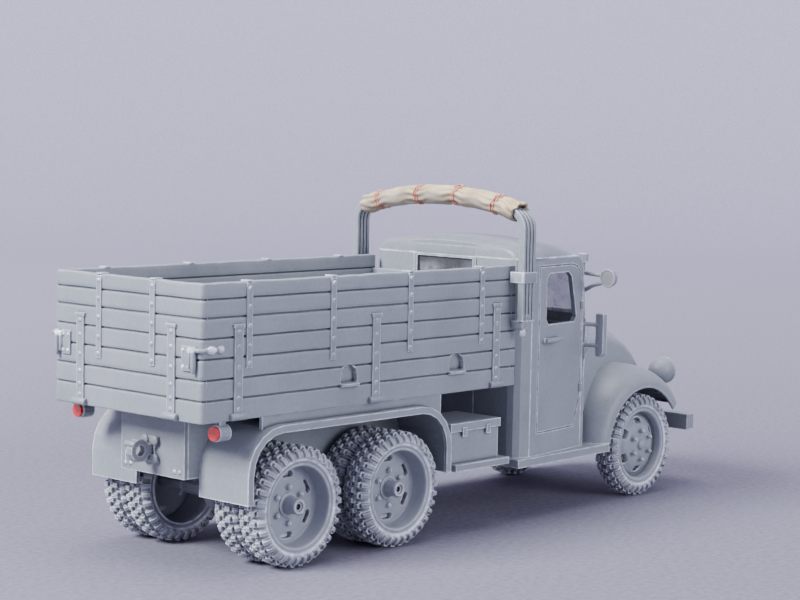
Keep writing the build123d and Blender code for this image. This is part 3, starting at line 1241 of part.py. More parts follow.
def front_rim(x):
    """A single rim with a domed disc and a round cap."""
    y0, y1 = FRONT_INNER_Y + RIM_INSET, FRONT_TYRE_OUTER_Y - RIM_INSET
    disc = y1 - FRONT_DISC_DEPTH
    inner = RIM_RADIUS - RIM_WALL
    rim = wheel_bar(x, y0, y1, RIM_RADIUS, RIM_SIDES) - wheel_bar(x, disc, y1, inner, RIM_SIDES)
    rim -= wheel_bar(x, y0, disc - DISC_THICKNESS, inner, RIM_SIDES)
    flat = NUT_RING_RADIUS + NUT_RADIUS
    rim += faceted([(0, inner), (FRONT_DISC_DOME, flat)], (x, disc, TYRE_RADIUS), (0, 1, 0), HUB_SIDES)
    face = disc + FRONT_DISC_DOME
    rim -= round_the_hub(disc_slot(2 * DISC_THICKNESS), x, disc, SLOT_RING_RADIUS, 0)
    rim += round_the_hub(wheel_nut(), x, face, NUT_RING_RADIUS, 180 / NUT_COUNT)
    rim += faceted([(0, CAP_RADIUS), (CAP_HEIGHT, CAP_RADIUS), (2 * CAP_HEIGHT, CAP_RADIUS / 2)],
                   (x, face, TYRE_RADIUS), (0, 1, 0), HUB_SIDES)
    rim += wheel_bar(x, y0, disc - DISC_THICKNESS, BORE_RADIUS + HUB_WALL, HUB_SIDES)
    return rim - wheel_bar(x, y0, FRONT_STUB_END + RUNNING_CLEARANCE, BORE_RADIUS, BEARING_SIDES)


# Columns: name, x, twin
WHEELS = (("rear", REAR_AXLE_X, True), ("middle", MIDDLE_AXLE_X, True), ("front", FRONT_AXLE_X, False))
for name, x, twin in WHEELS:
    if twin:
        outer = tyre(x, REAR_TYRE_OUTER_Y, REAR_TYRE_WIDTH)
        tyres = outer + Pos(0, -REAR_TYRE_WIDTH - TWIN_GAP, 0) * outer
        rim = rear_rim(x)
    else:
        tyres = tyre(x, FRONT_TYRE_OUTER_Y, FRONT_TYRE_WIDTH)
        rim = front_rim(x)
    nodes[f"{name}_tyre_left"] = tyres
    nodes[f"{name}_tyre_right"] = other_side(tyres)
    nodes[f"{name}_rim_left"] = rim
    nodes[f"{name}_rim_right"] = other_side(rim)

os.makedirs("parts", exist_ok=True)
for node_name, shape in nodes.items():
    export_step(Pos(shift_x, 0, 0) * shape, f"parts/{node_name}.step")
print(len(nodes), "nodes, shift", shift_x)
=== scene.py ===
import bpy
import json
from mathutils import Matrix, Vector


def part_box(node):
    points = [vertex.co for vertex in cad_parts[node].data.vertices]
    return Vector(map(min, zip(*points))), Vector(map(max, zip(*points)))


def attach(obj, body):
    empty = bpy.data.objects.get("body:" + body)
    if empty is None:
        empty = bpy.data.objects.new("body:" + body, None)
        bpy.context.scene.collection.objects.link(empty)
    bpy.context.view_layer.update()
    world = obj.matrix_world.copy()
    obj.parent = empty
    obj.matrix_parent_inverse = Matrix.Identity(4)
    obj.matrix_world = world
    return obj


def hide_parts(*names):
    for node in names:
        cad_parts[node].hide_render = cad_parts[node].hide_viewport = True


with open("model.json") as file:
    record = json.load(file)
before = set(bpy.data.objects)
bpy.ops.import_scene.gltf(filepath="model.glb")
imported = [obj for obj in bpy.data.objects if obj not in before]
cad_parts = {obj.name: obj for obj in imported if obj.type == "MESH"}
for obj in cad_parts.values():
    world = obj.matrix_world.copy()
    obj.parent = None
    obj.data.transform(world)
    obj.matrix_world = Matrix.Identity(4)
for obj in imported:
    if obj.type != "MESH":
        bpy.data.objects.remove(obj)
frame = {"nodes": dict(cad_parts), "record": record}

"""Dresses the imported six-wheeled cargo truck, a small painted scale model.

Lengths are in millimetres until a mesh is made. X runs forward, Y to the left and Z up.
Each sub-assembly is a class, and each paint is a frozen dataclass.
"""
import json
import logging
from collections.abc import Sequence
from dataclasses import dataclass, field
from enum import Enum

import bmesh
import bpy
import numpy as np
from mathutils import Matrix, Vector

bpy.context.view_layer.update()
MM = 0.001
TRUCK = "truck"
log = logging.getLogger("truck")


class Side(Enum):
    """The two sides of the truck, as the sign of Y."""

    LEFT = 1
    RIGHT = -1

    @property
    def word(self) -> str:
        """The side's name as it stands in node names."""
        return self.name.lower()


def mm_box(node: str) -> tuple[np.ndarray, np.ndarray]:
    """Lowest and highest corner of a CAD node.

    Args:
        node: The node's name.

    Returns:
        Two points in millimetres.
    """
    low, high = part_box(node)
    return np.array(low) / MM, np.array(high) / MM


def tail_plane() -> float:
    """X of the tailgate's outer face, which lies one wall behind the floor's edge."""
    return float(mm_box("bed_floor")[0][0]) - BOARD_WALL


BOARD_WALL = 0.9
TAIL = tail_plane()


# Shapes


@dataclass
class Shell:
    """Points and four-sided faces of one piece, in millimetres."""

    points: np.ndarray = field(default_factory=lambda: np.zeros((0, 3)))
    faces: np.ndarray = field(default_factory=lambda: np.zeros((0, 4), int))

    def __add__(self, other: "Shell") -> "Shell":
        """Both shells as one."""
        points = np.vstack((self.points, other.points))
        return Shell(points, np.vstack((self.faces, other.faces + len(self.points))))

    def moved(self, x: float = 0.0, y: float = 0.0, z: float = 0.0) -> "Shell":
        """The same shell at another place."""
        return Shell(self.points + np.array((x, y, z)), self.faces)

    def turned(self, matrix: np.ndarray) -> "Shell":
        """The same shell after a three by three matrix."""
        return Shell(self.points @ np.asarray(matrix).T, self.faces)

    def on_side(self, side: Side) -> "Shell":
        """The shell as drawn for the left, or its mirror image for the right."""
        if side is Side.LEFT:
            return self
        return Shell(self.points * np.array((1.0, -1.0, 1.0)), self.faces[:, ::-1])

    def both(self) -> "Shell":
        """The left shell and its mirror image."""
        return self + self.on_side(Side.RIGHT)

    def repeated(self, matrices: np.ndarray, places: np.ndarray) -> "Shell":
        """Copies of the shell, each turned by its matrix and put at its place.

        Args:
            matrices: K matrices of three by three.
            places: K points.

        Returns:
            All copies as one shell.
        """
        points = np.einsum("kij,nj->kni", matrices, self.points) + places[:, None, :]
        count = len(places)
        shift = (np.arange(count) * len(self.points))[:, None, None]
        return Shell(points.reshape(-1, 3), (self.faces[None] + shift).reshape(-1, 4))

    def copies(self, places: np.ndarray) -> "Shell":
        """The shell at each of many places, unturned."""
        return self.repeated(np.repeat(np.eye(3)[None], len(places), 0), places)


FACE_LEFT = np.array(((1.0, 0, 0), (0, 0, 1.0), (0, -1.0, 0)))
FACE_BACK = np.array(((0, 0, -1.0), (0, 1.0, 0), (1.0, 0, 0)))


def joined(shells: Sequence[Shell]) -> Shell:
    """Many shells as one, in their order."""
    whole = Shell()
    for shell in shells:
        whole = whole + shell
    return whole


def grid_faces(rows: int, columns: int, wrap_rows: bool, wrap_columns: bool) -> np.ndarray:
    """Four-sided faces between neighbours on a grid of points.

    Args:
        rows: Number of points along the first parameter.
        columns: Number of points along the second.
        wrap_rows: Whether the last row joins the first.
        wrap_columns: Whether the last column joins the first.

    Returns:
        Faces as an array of four indices each.
    """
    last_row = rows if wrap_rows else rows - 1
    last_column = columns if wrap_columns else columns - 1
    row, column = np.meshgrid(np.arange(last_row), np.arange(last_column), indexing="ij")
    next_row, next_column = (row + 1) % rows, (column + 1) % columns
    corners = (row * columns + column, next_row * columns + column,
               next_row * columns + next_column, row * columns + next_column)
    return np.stack(corners, axis=-1).reshape(-1, 4)


def grid_shell(points: np.ndarray, wrap_rows: bool = False, wrap_columns: bool = False) -> Shell:
    """A surface from a grid of points of shape rows by columns by three."""
    rows, columns, _ = points.shape
    return Shell(points.reshape(-1, 3), grid_faces(rows, columns, wrap_rows, wrap_columns))


def capped(points: np.ndarray) -> Shell:
    """Closed sections in a row, the first and the last one drawn together to their middle.

    Args:
        points: Sections by points by three.

    Returns:
        The closed shell.
    """
    first, last = (np.broadcast_to(row.mean(axis=0), row.shape)[None] for row in (points[0], points[-1]))
    return grid_shell(np.concatenate((first, points, last)), wrap_columns=True)


def lathe(profile: Sequence[tuple[float, float]] | np.ndarray, steps: int, closed: bool = False) -> Shell:
    """A profile turned about the Y axis: point = (r cos a, y, r sin a).

    Args:
        profile: Points of (y, r).
        steps: Number of steps round the axis.
        closed: Whether the profile's last point joins its first.

    Returns:
        The turned shell.
    """
    y, r = np.asarray(profile, float).T
    angle = np.linspace(0, 2 * np.pi, steps, endpoint=False)[None, :]
    points = np.stack((r[:, None] * np.cos(angle), np.broadcast_to(y[:, None], (len(y), steps)),
                       r[:, None] * np.sin(angle)), axis=-1)
    return grid_shell(points, wrap_rows=closed, wrap_columns=True)


def frames_along(path: np.ndarray) -> tuple[np.ndarray, np.ndarray]:
    """Two directions square to a path, turned as little as possible from point to point.

    Args:
        path: Points along the path.

    Returns:
        Two arrays of unit vectors, one for each point.
    """
    tangent = np.gradient(path, axis=0)
    tangent /= np.linalg.norm(tangent, axis=1, keepdims=True)
    guess = np.array((0.0, 0.0, 1.0)) if abs(tangent[0, 2]) < 0.9 else np.array((1.0, 0.0, 0.0))
    first = guess - tangent * (tangent @ guess)[:, None]
    first /= np.linalg.norm(first, axis=1, keepdims=True)
    return first, np.cross(tangent, first)


def tube(path: Sequence[tuple[float, float, float]] | np.ndarray, radius: float | np.ndarray,
         sides: int = 12, closed: bool = False) -> Shell:
    """A round bar along a path: point = path + r (cos a first + sin a second).

    Args:
        path: Points along the middle of the bar.
        radius: One radius, or one for each point.
        sides: Number of sides round the bar.
        closed: Whether the path is a loop.

    Returns:
        A closed shell with rounded ends, or a ring.
    """
    path = np.asarray(path, float)
    radius = np.broadcast_to(np.asarray(radius, float), (len(path),)).astype(float)
    if closed:
        middle = path.mean(axis=0)
        first = path - middle
        first /= np.linalg.norm(first, axis=1, keepdims=True)
        tangent = np.roll(path, -1, axis=0) - np.roll(path, 1, axis=0)
        tangent /= np.linalg.norm(tangent, axis=1, keepdims=True)
        second = np.cross(tangent, first)
    else:
        ahead = (path[1] - path[0]) / np.linalg.norm(path[1] - path[0]) * radius[0]
        behind = (path[-1] - path[-2]) / np.linalg.norm(path[-1] - path[-2]) * radius[-1]
        path = np.vstack((path[0], path[0] + 0.02 * ahead, path[0] + 0.25 * ahead, path[1:-1],
                          path[-1] - 0.25 * behind, path[-1] - 0.02 * behind, path[-1]))
        ends = radius[0], radius[-1]
        radius = np.concatenate(([0.0, 0.75 * ends[0], ends[0]], radius[1:-1], [ends[1], 0.75 * ends[1], 0.0]))
        first, second = frames_along(path)
    angle = np.linspace(0, 2 * np.pi, sides, endpoint=False)[None, :, None]
    points = path[:, None, :] + radius[:, None, None] * (
        np.cos(angle) * first[:, None, :] + np.sin(angle) * second[:, None, :])
    return grid_shell(points, wrap_rows=closed, wrap_columns=True)


def dome(radius: float, height: float, sides: int = 10) -> Shell:
    """A rivet head on the XY plane: an ellipsoid's upper half, r = R cos t and z = H sin t.

    Args:
        radius: R.
        height: H.
        sides: Number of sides.

    Returns:
        The closed head.
    """
    t = np.array((0.0, 0.35, 0.8, 1.2, np.pi / 2))
    angle = np.linspace(0, 2 * np.pi, sides, endpoint=False)[None, :]
    r, z = radius * np.cos(t)[:, None], height * np.sin(t)[:, None]
    points = np.stack((r * np.cos(angle), r * np.sin(angle), z + 0 * angle), axis=-1)
    base = points[:1] * np.array((0.0, 0.0, 1.0))
    return grid_shell(np.vstack((base, points)), wrap_columns=True)


def nut(across: float, height: float) -> Shell:
    """A six-sided nut on the XY plane with a rounded top and the end of its bolt.

    A ring's radius is r cos 30 / cos(a - 30), with a the angle within a sixth of a turn.

    Args:
        across: Width across its corners, before its sides bulge a little.
        height: Height of its top.

    Returns:
        The closed nut.
    """
    r = across / 2
    rings = [(0.0, 0.0, 6), (r, 0.0, 6), (r, 0.72 * height, 6), (0.86 * r, 0.92 * height, 0),
             (0.5 * r, height, 0), (0.45 * r, 1.18 * height, 0), (0.0, 1.22 * height, 0)]
    angle = np.linspace(0, 2 * np.pi, 12, endpoint=False)
    sixth = np.cos(np.pi / 6) / np.cos((angle % (np.pi / 3)) - np.pi / 6) * 1.08
    points = [np.stack((radius * (sixth if kind else 1.0) * np.cos(angle),
                        radius * (sixth if kind else 1.0) * np.sin(angle),
                        np.full(12, z)), axis=-1) for radius, z, kind in rings]
    return grid_shell(np.stack(points), wrap_columns=True)


def soft_block(size: Sequence[float], centre: Sequence[float], corner: float, sides: int = 20) -> Shell:
    """A block with rounded edges, drawn as layers of a rounded rectangle.

    A layer's outline is the superellipse |x/a|^n + |y/b|^n = 1, and the top and bottom layers
    draw in by the corner's radius along a quarter circle.

    Args:
        size: Lengths along X, Y and Z.
        centre: The block's middle.
        corner: Radius of its edges.
        sides: Number of points round a layer.

    Returns:
        The closed block.
    """
    a, b, c = (length / 2 for length in size)
    corner = min(corner, 0.95 * min(a, b, c))
    turn = np.array((0.0, 30.0, 60.0, 90.0)) * np.pi / 180
    draw = corner * (1 - np.sin(turn))
    lift = c - corner * (1 - np.cos(turn))
    heights = np.concatenate((-lift, lift[::-1]))
    inset = np.concatenate((draw, draw[::-1]))
    angle = np.linspace(0, 2 * np.pi, sides, endpoint=False)
    power = 0.22
    unit_x = np.sign(np.cos(angle)) * np.abs(np.cos(angle)) ** power
    unit_y = np.sign(np.sin(angle)) * np.abs(np.sin(angle)) ** power
    x = (a - inset)[:, None] * unit_x[None]
    y = (b - inset)[:, None] * unit_y[None]
    points = np.stack((x, y, np.broadcast_to(heights[:, None], x.shape)), axis=-1)
    poles = np.zeros((1, sides, 3)) + np.array((0, 0, c))
    points = np.concatenate((poles * np.array((1, 1, -1)), points, poles))
    return grid_shell(points, wrap_columns=True).moved(*centre)


def pairs(places: Sequence[float], heights: Sequence[float]) -> np.ndarray:
    """Every pair of a place along a board and a height, as rows."""
    first, second = np.meshgrid(np.array(places), np.array(heights), indexing="ij")
    return np.stack((first.ravel(), second.ravel()), axis=-1)


def curve(x: np.ndarray, at: Sequence[float], values: Sequence[float]) -> np.ndarray:
    """A smooth line through a table: cubics whose slopes come from the neighbours on both sides.

    Args:
        x: Where the line is wanted.
        at: The table's places in rising order.
        values: The table's values.

    Returns:
        The line's values.
    """
    at, values = np.asarray(at, float), np.asarray(values, float)
    slopes = np.gradient(values, at)
    index = np.clip(np.searchsorted(at, x) - 1, 0, len(at) - 2)
    width = at[index + 1] - at[index]
    t = np.clip((x - at[index]) / width, 0, 1)
    return ((2 * t ** 3 - 3 * t ** 2 + 1) * values[index] + (t ** 3 - 2 * t ** 2 + t) * width * slopes[index]
            + (3 * t ** 2 - 2 * t ** 3) * values[index + 1] + (t ** 3 - t ** 2) * width * slopes[index + 1])


def smooth_step(value: np.ndarray, low: float, high: float) -> np.ndarray:
    """0 below low, 1 above high, and 3t² - 2t³ between."""
    t = np.clip((value - low) / (high - low), 0.0, 1.0)
    return t * t * (3 - 2 * t)


def waves(u: np.ndarray, v: np.ndarray, seed: int, count: int, low: float, high: float) -> np.ndarray:
    """A sum of sines of random direction and length over two parameters, between -1 and 1.

    Args:
        u: First parameter.
        v: Second parameter.
        seed: Seed of the random numbers.
        count: Number of sines.
        low: Smallest number of radians for a unit.
        high: Largest number of radians for a unit.

    Returns:
        The sum at each point.
    """
    rng = np.random.default_rng(seed)
    total = np.zeros(np.broadcast(u, v).shape)
    for _ in range(count):
        speed, way, phase = rng.uniform(low, high), rng.uniform(0, np.pi), rng.uniform(0, 2 * np.pi)
        total = total + np.sin(speed * (np.cos(way) * u + np.sin(way) * v) + phase)
    return total / np.sqrt(count)


def build(name: str, shell: Shell, material: bpy.types.Material, replaces: Sequence[str] = (),
          sharp: float = 40.0, body: str = TRUCK) -> None:
    """Makes a shell a Blender object that rides on a CAD body.

    Args:
        name: The piece's name.
        shell: Its points and faces in millimetres.
        material: Its material.
        replaces: CAD nodes that it stands for.
        sharp: Angle in degrees past which an edge stays sharp.
        body: The CAD body that carries it.
    """
    mesh = bpy.data.meshes.new(name)
    points, faces = shell.points * MM, shell.faces
    mesh.vertices.add(len(points))
    mesh.vertices.foreach_set("co", points.astype(np.float32).ravel())
    mesh.loops.add(faces.size)
    mesh.loops.foreach_set("vertex_index", faces.astype(np.int32).ravel())
    mesh.polygons.add(len(faces))
    mesh.polygons.foreach_set("loop_start", np.arange(0, faces.size, 4, dtype=np.int32))
    mesh.update(calc_edges=True)
    work = bmesh.new()
    work.from_mesh(mesh)
    bmesh.ops.remove_doubles(work, verts=work.verts, dist=2e-7)
    bmesh.ops.recalc_face_normals(work, faces=work.faces)
    work.to_mesh(mesh)
    work.free()
    mesh.polygons.foreach_set("use_smooth", np.ones(len(mesh.polygons), bool))
    mesh.set_sharp_from_angle(angle=np.radians(sharp))
    mesh.update()
    piece = bpy.data.objects.new(name, mesh)
    bpy.context.scene.collection.objects.link(piece)
    mesh.materials.append(material)
    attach(piece, body)
    if replaces:
        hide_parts(*replaces)
    log.info("%s: %d faces on %s", name, len(mesh.polygons), body)


# Node trees


class Graph:
    """A small hand for wiring a node tree."""

    def __init__(self, tree: bpy.types.NodeTree) -> None:
        """Keeps the tree."""
        self.tree = tree

    def node(self, kind: str, inputs: dict | None = None, **settings: object) -> bpy.types.Node:
        """Adds a node.

        Args:
            kind: The node's type.
            inputs: Values, or output sockets to link, by input name or number.
            **settings: Properties of the node.

        Returns:
            The node.
        """
        made = self.tree.nodes.new(kind)
        for key, value in settings.items():
            setattr(made, key, value)
        for key, value in (inputs or {}).items():
            if isinstance(value, bpy.types.NodeSocket):
                self.tree.links.new(value, made.inputs[key])
            else:
                made.inputs[key].default_value = value
        return made

    def maths(self, operation: str, a: object, b: object = 0.0, clamp: bool = False) -> bpy.types.NodeSocket:
        """The result of one sum on two numbers."""
        return self.node("ShaderNodeMath", {0: a, 1: b}, operation=operation, use_clamp=clamp).outputs[0]

    def mix(self, share: object, a: object, b: object, blend: str = "MIX") -> bpy.types.NodeSocket:
        """A mix of two colours."""
        return self.node("ShaderNodeMix", {0: share, 6: a, 7: b}, data_type="RGBA", blend_type=blend).outputs[2]

    def span(self, value: object, low: float, high: float, to_low: float = 0.0,
             to_high: float = 1.0) -> bpy.types.NodeSocket:
        """A number carried from one range to another, and held at its ends."""
        return self.node("ShaderNodeMapRange", {0: value, 1: low, 2: high, 3: to_low, 4: to_high}).outputs[0]

    def noise(self, place: object, scale: object, detail: float = 3.0,
              rough: float = 0.55) -> bpy.types.NodeSocket:
        """A cloud pattern between 0 and 1."""
        return self.node("ShaderNodeTexNoise", {"Vector": place, "Scale": scale, "Detail": detail,
                                                "Roughness": rough}).outputs[0]


def new_group(name: str, inputs: Sequence[tuple[str, str, object]], outputs: Sequence[tuple[str, str]]
              ) -> tuple[bpy.types.NodeTree, Graph, bpy.types.Node, bpy.types.Node]:
    """A node group with named sockets.

    Args:
        name: The group's name.
        inputs: Name, socket type and value of each input.
        outputs: Name and socket type of each output.

    Returns:
        The group, its graph, and its input and output nodes.
    """
    tree = bpy.data.node_groups.new(name, "ShaderNodeTree")
    for label, kind, value in inputs:
        socket = tree.interface.new_socket(label, in_out="INPUT", socket_type=kind)
        if value is not None:
            socket.default_value = value
    for label, kind in outputs:
        tree.interface.new_socket(label, in_out="OUTPUT", socket_type=kind)
    graph = Graph(tree)
    return tree, graph, graph.node("NodeGroupInput"), graph.node("NodeGroupOutput")


FLOAT, COLOUR = "NodeSocketFloat", "NodeSocketColor"


class Effects:
    """The node groups that several finishes share."""

    def __init__(self) -> None:
        """Builds each group once."""
        self.edges = self._edges()
        self.mottle = self._mottle()
        self.settled_dust = self._dust_and_top_light()

    @staticmethod
    def _edges() -> bpy.types.NodeTree:
        """Dry-brushed edges that also carry a painted highlight, and hollows darkened by washes and painted shade.

        Light edges lie where a point is near an outer edge: rays sent into the solid soon come out. Their pale
        colour is dry-brushing and a painted highlight.
        Dark hollows lie where a point is in a hollow: rays sent outwards soon meet the piece itself. Their
        near-black colour is washes and painted shade.
        The light edges are broken up by a noise.
        """
        tree, graph, given, out = new_group(
            "painted_edges",
            (("Color", COLOUR, (0.3, 0.3, 0.3, 1)), ("Worn Color", COLOUR, (0.7, 0.7, 0.7, 1)),
             ("Wash And Shade Color", COLOUR, (0.05, 0.05, 0.05, 1)), ("Edge Width", FLOAT, 0.0002),
             ("Wash And Shade Width", FLOAT, 0.0005), ("Worn Amount", FLOAT, 0.8), ("Wash And Shade Amount", FLOAT, 0.8)),
            (("Color", COLOUR), ("Worn", FLOAT)))
        place = graph.node("ShaderNodeTexCoord").outputs["Object"]
        inner = graph.node("ShaderNodeAmbientOcclusion", {"Distance": given.outputs["Edge Width"]},
                           samples=6, inside=True, only_local=True).outputs["AO"]
        outer = graph.node("ShaderNodeAmbientOcclusion", {"Distance": given.outputs["Wash And Shade Width"]},
                           samples=6, inside=False, only_local=True).outputs["AO"]
        broken = graph.span(graph.noise(place, 900.0, 4.0, 0.65), 0.36, 0.62, 0.25, 1.0)
        # Light edges: dry-brushing and a painted highlight.
        worn = graph.span(graph.maths("SUBTRACT", 1.0, inner), 0.12, 0.40)
        worn = graph.maths("MULTIPLY", graph.maths("MULTIPLY", worn, broken), given.outputs["Worn Amount"], True)
        # Dark hollows: washes and painted shade.
        hollow = graph.span(graph.maths("SUBTRACT", 1.0, outer), 0.16, 0.62)
        hollow = graph.maths("MULTIPLY", hollow, given.outputs["Wash And Shade Amount"], True)
        washed_and_shaded = graph.mix(hollow, given.outputs["Color"], given.outputs["Wash And Shade Color"])
        colour = graph.mix(worn, washed_and_shaded, given.outputs["Worn Color"])
        graph.tree.links.new(colour, out.inputs["Color"])
        graph.tree.links.new(worn, out.inputs["Worn"])
        return tree

    @staticmethod
    def _mottle() -> bpy.types.NodeTree:
        """Uneven coats of model paint: broad clouds of light and dark, and fine grain."""
        tree, graph, given, out = new_group(
            "paint_mottle",
            (("Color", COLOUR, (0.3, 0.3, 0.3, 1)), ("Amount", FLOAT, 0.15), ("Grain Size", FLOAT, 1.0)),
            (("Color", COLOUR), ("Height", FLOAT)))
        place = graph.node("ShaderNodeTexCoord").outputs["Object"]
        clouds = graph.noise(place, graph.maths("MULTIPLY", given.outputs["Grain Size"], 130.0), 4.0, 0.6)
        grain = graph.noise(place, graph.maths("MULTIPLY", given.outputs["Grain Size"], 2600.0), 2.0, 0.5)
        both = graph.maths("ADD", graph.maths("MULTIPLY", graph.span(clouds, 0.3, 0.7), 0.65),
                           graph.maths("MULTIPLY", graph.span(grain, 0.3, 0.7), 0.35))
        light = graph.mix(given.outputs["Amount"], given.outputs["Color"], (0.80, 0.84, 0.90, 1))
        dark = graph.mix(given.outputs["Amount"], given.outputs["Color"], (0.02, 0.02, 0.03, 1))
        graph.tree.links.new(graph.mix(both, dark, light), out.inputs["Color"])
        graph.tree.links.new(grain, out.inputs["Height"])
        return tree

    @staticmethod
    def _dust_and_top_light() -> bpy.types.NodeTree:
        """Pale dusting on faces that look up, thicker low down: share = up x clouds + low x clouds. On the canvas
        the up-facing share is a painted highlight on the roll's top.
        """
        tree, graph, given, out = new_group(
            "settled_dust",
            (("Color", COLOUR, (0.3, 0.3, 0.3, 1)), ("Dust And Light Color", COLOUR, (0.5, 0.5, 0.5, 1)),
             ("Up Amount", FLOAT, 0.3), ("Low Amount", FLOAT, 0.3), ("Low Height", FLOAT, 0.008)),
            (("Color", COLOUR),))
        place = graph.node("ShaderNodeTexCoord").outputs["Object"]
        height = graph.node("ShaderNodeSeparateXYZ", {0: place}).outputs[2]
        normal = graph.node("ShaderNodeNewGeometry").outputs["Normal"]
        # Faces that look up get the paler colour: dusting, and on the canvas a painted highlight.
        up = graph.span(graph.node("ShaderNodeSeparateXYZ", {0: normal}).outputs[2], 0.3, 1.0)
        clouds = graph.span(graph.noise(place, 420.0, 5.0, 0.62), 0.35, 0.65, 0.3, 1.0)
        low = graph.maths("SUBTRACT", 1.0, graph.maths("DIVIDE", height, given.outputs["Low Height"], True), True)
        share = graph.maths("ADD", graph.maths("MULTIPLY", up, given.outputs["Up Amount"]),
                            graph.maths("MULTIPLY", low, given.outputs["Low Amount"]))
        share = graph.maths("MULTIPLY", share, clouds, True)
        graph.tree.links.new(graph.mix(share, given.outputs["Color"], given.outputs["Dust And Light Color"]),
                             out.inputs["Color"])
        return tree


Colour = tuple[float, float, float]


def bare_material(name: str) -> tuple[bpy.types.Material, Graph]:
    """A material without nodes, and a hand for wiring it."""
    made = bpy.data.materials.new(name)
    made.use_nodes = True
    made.node_tree.nodes.clear()
    return made, Graph(made.node_tree)


@dataclass(frozen=True)
class PaintFinish:
    """Brushed model paint with edges lightened by dry-brushing and a painted highlight, and hollows darkened by
    washes and painted shade.
    """

    name: str
    base: Colour
    # The pale edge colour and the near-black hollow colour are dry-brushing and washes, and also a painted
    # highlight and painted shade.
    worn: Colour = (0.86, 0.90, 0.98)
    wash: Colour = (0.010, 0.011, 0.014)
    edge_width: float = 0.17
    wash_and_shade_width: float = 0.6
    worn_amount: float = 1.0
    wash_and_shade_amount: float = 1.0
    mottle: float = 0.09
    grain: float = 1.0
    roughness: float = 0.40
    round_edge: float = 0.07
    bump: float = 0.12
    dust: Colour = (0.42, 0.43, 0.46)
    dust_and_light_up: float = 0.18
    dust_low: float = 0.25

    def material(self, effects: Effects) -> bpy.types.Material:
        """Wires the finish.

        Args:
            effects: The shared node groups.

        Returns:
            The material.
        """
        made, graph = bare_material(self.name)
        mottled = self._group(graph, effects.mottle, {"Color": (*self.base, 1), "Amount": self.mottle,
                                                      "Grain Size": self.grain})
        dusty = self._group(graph, effects.settled_dust,
                            {"Color": mottled.outputs["Color"], "Dust And Light Color": (*self.dust, 1),
                             "Up Amount": self.dust_and_light_up, "Low Amount": self.dust_low})
        edged = self._group(graph, effects.edges,
                            {"Color": dusty.outputs["Color"], "Worn Color": (*self.worn, 1),
                             "Wash And Shade Color": (*self.wash, 1), "Edge Width": self.edge_width * MM,
                             "Wash And Shade Width": self.wash_and_shade_width * MM, "Worn Amount": self.worn_amount,
                             "Wash And Shade Amount": self.wash_and_shade_amount})
        rough = graph.span(edged.outputs["Worn"], 0.0, 1.0, self.roughness, self.roughness - 0.12)
        soft = graph.node("ShaderNodeBevel", {"Radius": self.round_edge * MM}, samples=4).outputs[0]
        bump = graph.node("ShaderNodeBump", {"Strength": self.bump, "Distance": 0.00004,
                                             "Height": mottled.outputs["Height"], "Normal": soft}).outputs[0]
        shader = graph.node("ShaderNodeBsdfPrincipled", {"Base Color": edged.outputs["Color"],
                                                         "Roughness": rough, "Normal": bump})
        shader.inputs["Specular IOR Level"].default_value = 0.35
        target = graph.node("ShaderNodeOutputMaterial")
        graph.tree.links.new(shader.outputs[0], target.inputs["Surface"])
        return made

    @staticmethod
    def _group(graph: Graph, tree: bpy.types.NodeTree, inputs: dict) -> bpy.types.Node:
        """Places a shared group with this finish's values."""
        return graph.node("ShaderNodeGroup", inputs, node_tree=tree)


@dataclass(frozen=True)
class GlossFinish:
    """Smooth gloss over a plain colour: a lens, a mirror face or a pane."""

    name: str
    base: Colour
    roughness: float = 0.15
    metallic: float = 0.0
    transmission: float = 0.0
    coat: float = 0.0
    grime: Colour = (0.10, 0.10, 0.11)
    grime_amount: float = 0.25

    def material(self) -> bpy.types.Material:
        """Wires the finish: smears of grime change its colour and roughness.

        Returns:
            The material.
        """
        made, graph = bare_material(self.name)
        place = graph.node("ShaderNodeTexCoord").outputs["Object"]
        smear = graph.span(graph.noise(place, 520.0, 5.0, 0.7), 0.42, 0.68, 0.0, self.grime_amount)
        colour = graph.mix(smear, (*self.base, 1), (*self.grime, 1))
        rough = graph.span(smear, 0.0, 1.0, self.roughness, min(1.0, self.roughness + 0.6))
        shader = graph.node("ShaderNodeBsdfPrincipled", {"Base Color": colour, "Roughness": rough})
        shader.inputs["Metallic"].default_value = self.metallic
        shader.inputs["Transmission Weight"].default_value = self.transmission
        shader.inputs["Coat Weight"].default_value = self.coat
        target = graph.node("ShaderNodeOutputMaterial")
        graph.tree.links.new(shader.outputs[0], target.inputs["Surface"])
        return made


@dataclass(frozen=True)
class Paints:
    """Every material of the truck."""

    body: bpy.types.Material
    inner: bpy.types.Material
    # frame: the darker copy of the body paint, painted shade under the truck.
    frame: bpy.types.Material
    rim: bpy.types.Material
    tyre: bpy.types.Material
    canvas: bpy.types.Material
    tie: bpy.types.Material
    red: bpy.types.Material
    pane: bpy.types.Material
    silver: bpy.types.Material
    lamp: bpy.types.Material


BODY_PAINT = (0.195, 0.216, 0.238)


